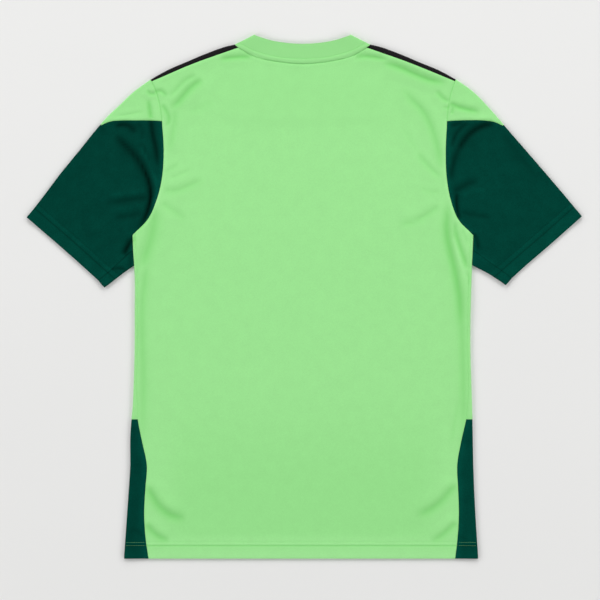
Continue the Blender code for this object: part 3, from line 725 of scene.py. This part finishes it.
def insert_top(x, y):
    """The insert's strip on the back."""
    return upper(x, y, BODY_FOLDS) + seamed(x, y, (COARSE.shoulder,))


def cap_top(x, y):
    """The sleeve cap between its seams."""
    return (upper(x, y, SLEEVE_FOLDS) + seamed(x, y, (COARSE.cap, COARSE.cap_armhole))
            + thin_seam(x, y, COARSE.cap_armhole, THIN_SEAM_SHADE))


def sleeve_top(x, y):
    """The sleeve, which dips under the body at the armhole, with a painted highlight beside it."""
    underarm = np.array([(COARSE.body_half(UNDERARM_SEAM_Y), UNDERARM_SEAM_Y), CUFF_SEAM])
    side = COARSE.side_fold[:COARSE.count["side"] // 2]
    armhole = np.concatenate([COARSE.sleeve_armhole, side])
    near = bell(gap_to(x, y, armhole) / SLEEVE_SINK_WIDTH)
    # the dip beside the armhole, with its painted highlight
    sink = np.array([-SLEEVE_SINK * near, SLEEVE_SINK_SHADE * near])
    return (upper(x, y, SLEEVE_FOLDS) + seamed(x, y, (COARSE.cap,)) + sink
            + thin_seam(x, y, armhole, SLEEVE_SEAM_SHADE)
            + thin_seam(x, y, underarm, UNDERARM_SHADE) + sleeve_hemmed(x, y))


def rib_top(x, y):
    """The collar's back, with the raised strip along its seam, its painted highlight and painted
    shade.
    """
    strip_edge = centred(COLLAR_STRIP, FINE // 10)
    under = beside(np.abs(x), y, strip_edge)[0]  # more than 0 between the strip's edge and the seam
    line = bell(under / STRIP_LINE)
    inside = ramp(under / STRIP_RAMP)
    raised = RIB_RAISE + STRIP_RAISE * (inside - STRIP_GROOVE * line)
    # painted highlight over the strip, painted shade along its edge
    dark = STRIP_SHADE * inside + STRIP_LINE_SHADE * line
    return (upper(x, y, BODY_FOLDS) + np.array([raised, dark])
            + seamed(x, y, (COARSE.collar,), 0))


def lower(x, y):
    """Inner face of the lower layer's cloth above the ground it lies on."""
    return LOWER_SHARE * creased(x, y)[0]


# ---------------------------------------------------------------- cloth and stitches

def placed(bm, name, material):
    """A finished mesh as an object in the scene."""
    mesh = bpy.data.meshes.new(name)
    bm.to_mesh(mesh)
    bm.free()
    mesh.materials.append(material)
    piece = bpy.data.objects.new(name, mesh)
    bpy.context.scene.collection.objects.link(piece)
    return piece


class Cloth:
    """One piece of cloth on the drawing board: its middle surface, then a wall and a finish."""

    def __init__(self, wall):
        self.bm = bmesh.new()
        self.along = self.bm.verts.layers.float.new("along")
        # painted shade of each point, which the finish reads
        self.shade = self.bm.verts.layers.float.new("shade")
        self.wall = wall

    def lay(self, plan, height, along=0.0, shade=0.0):
        """Adds a grid of cloth with the given plan and height."""
        rows, columns = plan.shape[:2]
        grid = bmesh.ops.create_grid(self.bm, x_segments=columns - 1, y_segments=rows - 1, size=0.5)
        place = pulled(plan[..., 0], plan[..., 1]).reshape(2, -1).T
        fields = height, along, shade
        spread = (np.broadcast_to(field, (rows, columns)).ravel() for field in fields)
        for vertex, (x, y), z, run, dark in zip(grid["verts"], place, *spread):
            vertex.co = (x, y, z)
            vertex[self.along] = run
            vertex[self.shade] = dark

    def lay_upper(self, plan, top, along=0.0):
        height, shade = top(plan[..., 0], plan[..., 1])
        self.lay(plan, height - self.wall / 2, along, shade)

    def lay_lower(self, plan, along=0.0, hem=None):
        # the hem's painted shade on the front
        shade = hem(plan[..., 0], plan[..., 1])[1] if hem else 0.0
        self.lay(plan, lower(plan[..., 0], plan[..., 1]) + self.wall / 2, along, shade)

    def turn(self, tangent, outline, top, arc=0.0, hem=None):
        """Adds half a turn of cloth round a fold, from the lower layer to the upper one."""
        reach = (outline - tangent) * (1 - self.wall / 2 / REACH)
        angles = np.linspace(0, math.pi, TURN_STEPS + 1)
        plan = np.array([tangent + reach * math.sin(angle) for angle in angles])
        low = lower(*tangent.T) + self.wall / 2
        high, shade = top(*tangent.T)
        high = high - self.wall / 2
        height = np.array([low + (high - low) * (1 - math.cos(angle)) / 2 for angle in angles])
        # the hem's painted shade below, blended into the upper painted shade round the turn
        under = hem(*tangent.T)[1] if hem else 0 * shade
        along = arc * np.abs(np.cos(angles))[:, None]
        self.lay(plan, height, along, under + (shade - under) * np.sin(angles / 2)[:, None])

    def trim(self, margin):
        """Takes a margin off every free edge, along the cloth."""
        moves = {}
        for vertex in self.bm.verts:
            inward = []
            for edge in vertex.link_edges:
                if edge.is_boundary:
                    line = (edge.verts[1].co - edge.verts[0].co).normalized()
                    face = edge.link_faces[0].calc_center_median() - vertex.co
                    inward.append((face - line * face.dot(line)).normalized())
            if len(inward) == 2:
                total = inward[0] + inward[1]
                moves[vertex] = total * margin / max(0.5, 1 + inward[0].dot(inward[1]))
        for vertex, move in moves.items():
            vertex.co += move

    def finish(self, node, material, cut, slot, rests_on=()):
        """Closes the cloth into a wall, puts it in the scene and hides the part it stands for."""
        bmesh.ops.remove_doubles(self.bm, verts=self.bm.verts, dist=MERGE)
        bmesh.ops.dissolve_degenerate(self.bm, edges=self.bm.edges, dist=MERGE)
        bmesh.ops.recalc_face_normals(self.bm, faces=self.bm.faces)
        self.trim(SEAM_GAP / 2)
        for edge in self.bm.edges:
            edge.smooth = not edge.is_boundary
        piece = placed(self.bm, "cloth_" + node, material)
        piece.data.shade_smooth()
        thickness = piece.modifiers.new("Wall", "SOLIDIFY")
        thickness.thickness = self.wall
        thickness.offset = 0
        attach(piece, "root")
        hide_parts(node)


def sew(name, rows, top, material):
    """Rows of small stitches that follow the cloth under them."""
    bm = bmesh.new()
    size = Matrix.Diagonal((STITCH_LENGTH / 2, STITCH_WIDTH / 2, STITCH_WIDTH / 3, 1))
    for start, end in rows:
        way = np.subtract(end, start)
        count = int(np.linalg.norm(way) / STITCH_PITCH)
        at = start + way * ((np.arange(count) + 0.5) / count)[:, None]
        heading = Matrix.Rotation(math.atan2(way[1], way[0]), 4, "Z")
        for (x, y), z in zip(pulled(*at.T).T, top(*at.T)[0]):
            place = Matrix.Translation((x, y, z + STITCH_RISE)) @ heading @ size
            bmesh.ops.create_uvsphere(bm, u_segments=6, v_segments=4, radius=1.0, matrix=place)
    piece = placed(bm, name, material)
    piece.data.shade_smooth()
    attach(piece, "root")


# ---------------------------------------------------------------- finishes

class Value:
    """One number at each point of a surface, as the output socket of a node."""

    def __init__(self, finish, socket):
        self.finish = finish
        self.socket = socket

    def math(self, operation, *values):
        sockets = dict(enumerate(values))
        return self.finish.node("ShaderNodeMath", {"operation": operation}, sockets)

    def __add__(self, other):
        return self.math("ADD", self, other)

    def __sub__(self, other):
        return self.math("SUBTRACT", self, other)

    def __rsub__(self, other):
        return self.math("SUBTRACT", other, self)

    def __mul__(self, other):
        return self.math("MULTIPLY", self, other)

    __radd__ = __add__
    __rmul__ = __mul__

    def sine(self):
        return self.math("SINE", self)

    def size(self):
        return self.math("ABSOLUTE", self)


class Finish:
    """A material being made: its main shader and the nodes that feed it."""

    def __init__(self, name, **constants):
        self.material = bpy.data.materials.new(name)
        self.material.use_nodes = True
        self.tree = self.material.node_tree
        self.shader = self.tree.nodes["Principled BSDF"]
        self.feed(self.shader, {name.replace("_", " "): value for name, value in constants.items()})

    def feed(self, node, sockets):
        for key, value in sockets.items():
            if isinstance(value, Value):
                self.tree.links.new(value.socket, node.inputs[key])
            else:
                node.inputs[key].default_value = value

    def node(self, kind, settings, sockets, output=0):
        made = self.tree.nodes.new(kind)
        for name, value in settings.items():
            setattr(made, name, value)
        self.feed(made, sockets)
        return Value(self, made.outputs[output])

    def place(self, turn=0.0):
        """Object coordinates, turned about the vertical."""
        coordinates = self.node("ShaderNodeTexCoord", {}, {}, "Object")
        return self.node("ShaderNodeMapping", {}, {"Vector": coordinates, "Rotation": (0, 0, turn)})

    def axes(self, place):
        split = self.node("ShaderNodeSeparateXYZ", {}, {"Vector": place})
        return split, Value(self, split.socket.node.outputs[1])

    def attribute(self, name):
        return self.node("ShaderNodeAttribute", {"attribute_name": name}, {}, 2)

    def noise(self, place, scale, detail=2.0):
        sockets = {"Vector": place, "Scale": scale, "Detail": detail}
        return self.node("ShaderNodeTexNoise", {"noise_dimensions": "3D"}, sockets)

    def mixed(self, factor, first, second, clamp=True):
        """A mix of two colours, whose sockets have names that others have too."""
        settings = {"data_type": "RGBA", "clamp_factor": clamp}
        return self.node("ShaderNodeMix", settings, {0: factor, 6: first, 7: second}, 2)

    def tint(self, factor, colour, dark, light):
        """The colour between its darker and its lighter tone."""
        return self.mixed(factor, shade(colour, dark), shade(colour, light))

    def paint_hollow_shade(self, face, colour):
        """Painted shade on the face of the cloth: darker and richer in hollows, which light reaches
        less.
        """
        deep = tuple(part * (HOLLOW_LOSS + HOLLOW_RETURN * part) for part in colour[:3]) + (1.0,)
        return self.mixed(self.attribute("shade"), face, deep, clamp=False)

    def coat(self, colour, cloud, roughness, spread):
        """Colour, and a roughness that varies with the cloud."""
        rough = cloud * spread + (roughness - spread / 2)
        self.feed(self.shader, {"Base Color": colour, "Roughness": rough})

    def relief(self, height, strength, distance):
        sockets = {"Height": height, "Strength": strength, "Distance": distance}
        self.feed(self.shader, {"Normal": self.node("ShaderNodeBump", {}, sockets)})


def shade(colour, factor):
    return tuple(part * factor for part in colour[:3]) + (1.0,)


def glossy(name, colour, gloss):
    """A finish whose gloss takes the colour of its fibres."""
    return Finish(name, Specular_IOR_Level=gloss, Specular_Tint=shade(colour, 1 / max(colour)))


def knit(name, colour, roughness, turn=0.0, gloss=0.3, grain=GRAIN, cloud=CLOUD):
    """Fine interlock knit with a satin face; its columns run up the piece."""
    finish = glossy(name, colour, gloss)
    place = finish.place(turn)
    x, y = finish.axes(place)
    column = (x * (math.pi / COLUMN)).sine().size()
    course = (y * (2 * math.pi / COURSE) + column * COURSE_LEAN).sine()
    loops = column * COLUMN_PART + course * (1 - COLUMN_PART)
    clouds = finish.noise(place, CLOUD_SCALE, CLOUD_DETAIL)
    grains = finish.noise(place, GRAIN_SCALE)
    fuzz = finish.noise(place, FUZZ_SCALE)
    mix = ((grains - 0.5) * grain + (clouds - 0.5) * cloud + (loops - LOOP_MEAN) * LOOP
           + (fuzz - 0.5) * (grain * FUZZ) + 0.5)
    face = finish.tint(mix, colour, dark=1 - SPREAD, light=1 + SPREAD)
    finish.coat(finish.paint_hollow_shade(face, colour), clouds, roughness, spread=0.08)
    finish.relief(loops + fuzz * 0.5 + grains * 2.0, strength=0.35, distance=0.00010)
    return finish.material


def dark_knit(name, side, turn=0.0):
    """Knit of the sleeves and gussets, with painted light: a little paler on the right, which more
    light reaches.
    """
    colour = [part * dye for part, dye in zip(jersey().sleeve, DARK_DYE)]
    # painted light: the right copy is paler
    colour = shade(colour, DARK_LIGHT + PAINTED_SIDE_LIGHT * side)
    return knit(name, colour, roughness=0.6, turn=turn, gloss=0.12, grain=DARK_GRAIN,
                cloud=DARK_CLOUD)


def rib(name, colour, roughness):
    """Fine rib whose columns run across the band."""
    finish = glossy(name, colour, gloss=0.2)
    place = finish.place()
    ribs = (finish.attribute("along") * (math.pi / RIB_PITCH)).sine().size()
    fuzz = finish.noise(place, FUZZ_SCALE)
    cloud = finish.noise(place, CLOUD_SCALE, CLOUD_DETAIL)
    face = finish.tint(ribs * 0.5 + cloud * 0.3 + fuzz * 0.2, colour, dark=0.92, light=1.05)
    finish.coat(finish.paint_hollow_shade(face, colour), cloud, roughness, spread=0.06)
    finish.relief(ribs + fuzz * 0.3, strength=0.5, distance=0.00015)
    return finish.material


def thread(name, colour, gloss=0.4):
    """Twisted polyester thread."""
    finish = glossy(name, colour, gloss)
    x, y = finish.axes(finish.place())
    ply = ((x + y) * (2 * math.pi / PLY_PITCH)).sine() * 0.5 + 0.5
    face = finish.tint(ply, colour, dark=0.85, light=1.05)
    finish.coat(face, ply, roughness=0.45, spread=0.1)
    finish.relief(ply, strength=0.3, distance=0.00005)
    return finish.material


# ---------------------------------------------------------------- settings

def colour_setting(name, default, description):
    return FloatVectorProperty(name=name, description=description, default=tuple(default[:3]),
                               size=3, subtype="COLOR", min=0.0, max=1.0)


class JerseySettings(bpy.types.PropertyGroup):
    """Sizes and colours of the jersey."""

    wall: FloatProperty(name="Cloth", description="Thickness of the knit", default=0.0007,
                        unit="LENGTH", min=0.0003, max=0.0012)
    rib_wall: FloatProperty(name="Rib", description="Thickness of the collar's rib",
                            default=0.0013, unit="LENGTH", min=0.0006, max=0.0018)
    crease_height: FloatProperty(name="Creases", description="Height of the creases, 1 as laid",
                                 default=1.0, subtype="FACTOR", min=0.0, max=1.5)
    body: colour_setting("Body", FINISHES["body_knit"], "Colour of the body and caps")
    rib: colour_setting("Collar", FINISHES["collar_rib"], "Colour of the collar")
    sleeve: colour_setting("Sleeves", FINISHES["sleeve_knit"], "Colour of the sleeves and gussets")
    insert: colour_setting("Inserts", FINISHES["insert_knit"], "Colour of the shoulder inserts")


class StageSettings(bpy.types.PropertyGroup):
    """Floor, light and camera."""

    lens: FloatProperty(name="Lens", description="Focal length in millimetres", default=100.0,
                        min=20.0)
    field: FloatProperty(name="Field", description="Width of floor that the camera sees",
                         default=0.858, unit="LENGTH", min=0.1)
    light: FloatProperty(name="Light", description="Brightness against the usual", default=1.0,
                         subtype="FACTOR", min=0.0, max=4.0)
    floor: colour_setting("Floor", (0.80, 0.80, 0.79), "Colour of the floor")


def jersey():
    return bpy.context.scene.jersey


def stage():
    return bpy.context.scene.jersey_stage


# ---------------------------------------------------------------- operators

class JERSEY_OT_back_panel(bpy.types.Operator):
    """Back of the body, from shoulder to hem"""

    bl_idname = "jersey.back_panel"
    bl_label = "Back panel"

    def execute(self, context):
        cut = CLOSE
        cloth = Cloth(jersey().wall)
        top = both_halves(join(cut.shoulder, cut.collar))
        edge = join(cut.body_edge, cut.cap_armhole[::-1])
        plateaus = (PLATEAU, PLATEAU)
        hem = both_halves(cut.hem(cut.count["collar"]))
        plan = fill(hem, top, mirrored(edge), edge, plateaus, plateaus)
        cloth.lay_upper(plan, body_top)
        material = knit("body_knit", jersey().body, roughness=0.52)
        cloth.finish("back_panel", material, "back_panel", "body_knit", ["front_panel"])
        return {"FINISHED"}


class JERSEY_OT_front_panel(bpy.types.Operator):
    """Front of the body, which wraps round both sides to a seam on the back"""

    bl_idname = "jersey.front_panel"
    bl_label = "Front panel"

    def execute(self, context):
        cut = MIDDLE
        cloth = Cloth(jersey().wall)
        top = both_halves(join(cut.insert[::-1], cut.neck[cut.neck_end:]))
        edge = join(cut.body_edge, cut.cap_armhole[:cut.armhole_end - 1:-1])
        hem = both_halves(cut.hem(cut.count["neck"] - cut.neck_end))
        plan = fill(hem, top, mirrored(edge), edge)
        cloth.lay_lower(plan, hem=body_hemmed)
        tangent, outline = cut.side_turn
        for wearer, half in HALVES:
            plan = strip(cut.side, tangent, SIDE_CHORDS) * half
            cloth.lay_lower(plan, hem=body_hemmed)
            cloth.lay_upper(plan, side_top)
            cloth.turn(tangent * half, outline * half, side_top, hem=body_hemmed)
        material = knit("front_knit", jersey().body, roughness=0.52)
        cloth.finish("front_panel", material, "front_panel", "body_knit")
        return {"FINISHED"}


class JERSEY_OT_side_gussets(bpy.types.Operator):
    """Dark gussets, folded round the side at the hem"""

    bl_idname = "jersey.side_gussets"
    bl_label = "Side gussets"

    def execute(self, context):
        cut = CLOSE
        tangent, outline = cut.gusset_turn
        for wearer, half in HALVES:
            cloth = Cloth(jersey().wall)
            plan = strip(cut.gusset, tangent, GUSSET_CHORDS) * half
            cloth.lay_lower(plan, hem=body_hemmed)
            cloth.lay_upper(plan, gusset_top)
            cloth.turn(tangent * half, outline * half, gusset_top, hem=body_hemmed)
            material = dark_knit("gusset_knit_" + wearer, half[0])
            cloth.finish("side_gusset_" + wearer, material, "side_gusset", "sleeve_knit")
        return {"FINISHED"}


class JERSEY_OT_shoulder_inserts(bpy.types.Operator):
    """Black inserts over the shoulders: a narrow strip on the back, the rest on the front"""

    bl_idname = "jersey.shoulder_inserts"
    bl_label = "Shoulder inserts"

    def execute(self, context):
        cut = MIDDLE
        tangent, outline = cut.insert_turn
        for wearer, half in HALVES:
            cloth = Cloth(jersey().wall)
            armhole = np.vstack([tangent[-1:], cut.cap_armhole[:cut.armhole_end + 1]])
            neck = smooth(cut.neck[:cut.neck_end + 1], len(armhole) - 1)
            cloth.lay_lower(fill(tangent, cut.insert, neck, armhole) * half)
            cloth.turn(crowd(tangent) * half, crowd(outline) * half, insert_top)
            plan = strip(crowd(cut.shoulder[::-1]), crowd(tangent), SIDE_CHORDS) * half
            cloth.lay_upper(plan, insert_top)
            material = knit("insert_knit_" + wearer, jersey().insert, roughness=0.55, gloss=0.1)
            cloth.finish("shoulder_insert_" + wearer, material, "shoulder_insert", "insert_knit")
        return {"FINISHED"}


class JERSEY_OT_sleeve_caps(bpy.types.Operator):
    """Light panels at the top of the sleeves, between the armhole and the cap seam"""

    bl_idname = "jersey.sleeve_caps"
    bl_label = "Sleeve caps"

    def execute(self, context):
        cut = CLOSE
        tangent, outline = cut.cap_turn
        armhole = np.vstack([cut.cap_armhole[::-1], tangent[:1]])
        seam = smooth(cut.cap, len(armhole) - 1)
        corner = np.repeat(armhole[:1], len(tangent), axis=0)
        plan = fill(corner, tangent, armhole, seam)
        for wearer, half in HALVES:
            cloth = Cloth(jersey().wall)
            cloth.lay_upper(plan * half, cap_top)
            cloth.lay_lower(plan * half)
            cloth.turn(crowd(tangent) * half, crowd(outline) * half, cap_top)
            material = knit("cap_knit_" + wearer, jersey().body, roughness=0.52)
            cloth.finish("sleeve_cap_" + wearer, material, "sleeve_cap", "body_knit")
        return {"FINISHED"}


class JERSEY_OT_sleeves(bpy.types.Operator):
    """Dark sleeves, flat tubes whose seam lies on the back just above the lower fold"""

    bl_idname = "jersey.sleeves"
    bl_label = "Sleeves"

    def execute(self, context):
        cut = CLOSE
        top, flap = cut.sleeve_turn[0], cut.flap_turn[0]
        seam_start = (cut.body_half(UNDERARM_SEAM_Y) + SEAM_GAP / 2, UNDERARM_SEAM_Y)
        corner = (cut.body_half(UNDERARM_Y) + SEAM_GAP / 2, UNDERARM_Y)
        tangent = cut.side_turn[0][0]
        chords = cut.count["flap_side"]
        flap_side = smooth([flap[0], seam_start], chords)
        flap_cuff = smooth([flap[-1], CUFF_SEAM], chords)
        body_side = join(smooth([seam_start, corner], chords),
                         np.array([corner, tangent, cut.side[0]]))
        armhole = join(body_side, cut.sleeve_armhole[::-1], cut.cap)
        cuff = smooth([CUFF_SEAM, top[-1]], len(armhole) - 1)
        seam = cut.cuffed(smooth([seam_start, CUFF_SEAM], cut.count["sleeve"]))
        back = fill(seam, top, armhole, cuff, (PLATEAU, CUFF_PLATEAU), (PLATEAU, PLATEAU))
        under = fill(flap, seam, flap_side, flap_cuff)
        front = fill(flap, top, join(flap_side, armhole), join(flap_cuff, cuff),
                     (0, CUFF_PLATEAU))
        for wearer, half in HALVES:
            cloth = Cloth(jersey().wall)
            cloth.lay_upper(back * half, sleeve_top)
            cloth.lay_upper(under * half, sleeve_top)
            cloth.lay_lower(front * half, hem=sleeve_hemmed)
            for tangent, outline in (cut.sleeve_turn, cut.flap_turn):
                tangent, outline = crowd(tangent) * half, crowd(outline) * half
                cloth.turn(tangent, outline, sleeve_top, hem=sleeve_hemmed)
            side = half[0]
            material = dark_knit("sleeve_knit_" + wearer, side, side * SLEEVE_TURN)
            cloth.finish("sleeve_" + wearer, material, "sleeve", "sleeve_knit")
        return {"FINISHED"}


class JERSEY_OT_collar(bpy.types.Operator):
    """Ring of rib, with a raised strip along its seam at the back"""

    bl_idname = "jersey.collar"
    bl_label = "Collar"

    def execute(self, context):
        cut = CLOSE
        tangent, outline = (smooth(curve, COLLAR_ROWS) for curve in cut.collar_turn)
        cloth = Cloth(jersey().rib_wall)
        bands = (cut.collar, COLLAR_TOP, rib_top), (cut.neck[1:], FRONT_NECK_TOP, None)
        for line, edge, top in bands:
            seam = np.vstack([tangent[-1:], line])
            inner = centred([tangent[0]] + edge[1:], len(seam) - 1)
            seam, inner = both_halves(seam), both_halves(inner)
            plan = fill(seam, inner, mirrored(tangent[::-1]), tangent[::-1])
            steps = np.linalg.norm(np.diff(plan[len(plan) // 2], axis=0), axis=1)
            along = np.concatenate([[0], np.cumsum(steps)])
            along = RIB_ARC + np.minimum(along, along[-1] - along)
            if top:
                cloth.lay_upper(plan, top, along)
            else:
                cloth.lay_lower(plan, along)
        tangent, outline = crowd(tangent[::-1]), crowd(outline[::-1])
        for wearer, half in HALVES:
            cloth.turn(tangent * half, outline * half, rib_top, RIB_ARC)
        material = rib("collar_rib", shade(jersey().rib, RIB_LIGHT), roughness=0.60)
        cloth.finish("collar", material, "collar", "collar_rib", ["back_panel"])
        return {"FINISHED"}


class JERSEY_OT_stitching(bpy.types.Operator):
    """Rows of stitches round the hems"""

    bl_idname = "jersey.stitching"
    bl_label = "Stitching"

    def execute(self, context):
        half = COARSE.body_half(HEM_Y + HEM_ROWS[0]) - REACH
        rows = [[(-half, HEM_Y + row), (half, HEM_Y + row)] for row in HEM_ROWS]
        sew("hem_stitches", rows, body_top, thread("hem_thread", jersey().body))
        rows = []
        for row in CUFF_ROWS:
            fold = COARSE.sleeve_turn[0]
            fold = marked(fold, COARSE.cuff_reach(*fold.T), (row,))
            end = fold[np.argmin(np.abs(COARSE.cuff_reach(*fold.T) - row))]
            rows.append((COARSE.cuff_start + COARSE.cuff_inward * row, end))
        # painted shade: the cuff thread is drawn darker than its cloth
        colour = shade(jersey().sleeve, THREAD_LIGHT)
        for wearer, half in HALVES:
            material = thread("cuff_thread_" + wearer, colour, gloss=0.1)
            cuff = np.array(rows) * half
            sew("cuff_stitches_" + wearer, cuff, sleeve_top, material)
        return {"FINISHED"}


class JERSEY_OT_stage(bpy.types.Operator):
    """Pale floor, soft light and a camera straight above"""

    bl_idname = "jersey.stage"
    bl_label = "Stage"

    def execute(self, context):
        scene = context.scene
        bm = bmesh.new()
        bmesh.ops.create_grid(bm, x_segments=1, y_segments=1, size=FLOOR_HALF,
                              matrix=Matrix.Translation((0, 0, -FLOOR_DROP)))
        finish = Finish("floor_paint", Specular_IOR_Level=0.2)
        cloud = finish.noise(finish.place(), FLOOR_CLOUD_SCALE)
        paint = finish.tint(cloud, stage().floor, dark=0.985, light=1.01)
        finish.coat(paint, cloud, roughness=0.825, spread=0.05)
        floor = placed(bm, "floor", finish.material)

        camera = bpy.data.cameras.new("camera")
        camera.lens = stage().lens
        camera.sensor_width = SENSOR
        height = stage().field * stage().lens / SENSOR
        camera.clip_end = 2 * height
        eye = bpy.data.objects.new("camera", camera)
        eye.location = (*VIEW_CENTRE, height + UPPER_TOP)
        scene.collection.objects.link(eye)
        scene.camera = eye

        world = bpy.data.worlds.new("room")
        world.use_nodes = True
        background = world.node_tree.nodes["Background"]
        background.inputs["Color"].default_value = (1.0, 1.0, 1.0, 1.0)
        background.inputs["Strength"].default_value = ROOM_LIGHT * stage().light
        scene.world = world
        scene.view_settings.view_transform = "Standard"
        for name, azimuth, power in LAMPS:
            turn = math.radians(azimuth)
            place = Vector((math.cos(turn) * math.cos(LAMP_RISE),
                            math.sin(turn) * math.cos(LAMP_RISE), math.sin(LAMP_RISE)))
            place *= LAMP_DISTANCE
            lamp = bpy.data.lights.new(name, "AREA")
            lamp.size = LAMP_SIZE
            lamp.energy = power * stage().light
            holder = bpy.data.objects.new(name, lamp)
            holder.location = place
            holder.rotation_euler = place.to_track_quat("Z", "Y").to_euler()
            scene.collection.objects.link(holder)
        return {"FINISHED"}


STEPS = (JERSEY_OT_stage, JERSEY_OT_back_panel, JERSEY_OT_front_panel, JERSEY_OT_side_gussets,
         JERSEY_OT_shoulder_inserts, JERSEY_OT_sleeve_caps, JERSEY_OT_sleeves,
         JERSEY_OT_collar, JERSEY_OT_stitching)


class JERSEY_PT_tools(bpy.types.Panel):
    """Settings and steps of the jersey"""

    bl_idname = "JERSEY_PT_tools"
    bl_label = "Jersey"
    bl_space_type = "VIEW_3D"
    bl_region_type = "UI"
    bl_category = "Jersey"

    def draw(self, context):
        for group in (context.scene.jersey, context.scene.jersey_stage):
            for name in group.__annotations__:
                self.layout.prop(group, name)
        for step in STEPS:
            self.layout.operator(step.bl_idname)


CLASSES = (JerseySettings, StageSettings) + STEPS + (JERSEY_PT_tools,)


def register():
    for item in CLASSES:
        bpy.utils.register_class(item)
    bpy.types.Scene.jersey = PointerProperty(type=JerseySettings)
    bpy.types.Scene.jersey_stage = PointerProperty(type=StageSettings)


def unregister():
    del bpy.types.Scene.jersey_stage
    del bpy.types.Scene.jersey
    for item in reversed(CLASSES):
        bpy.utils.unregister_class(item)


def main():
    register()
    for step in STEPS:
        getattr(bpy.ops.jersey, step.bl_idname.split(".")[1])()
    bpy.context.view_layer.update()


if __name__ == "__main__":
    main()
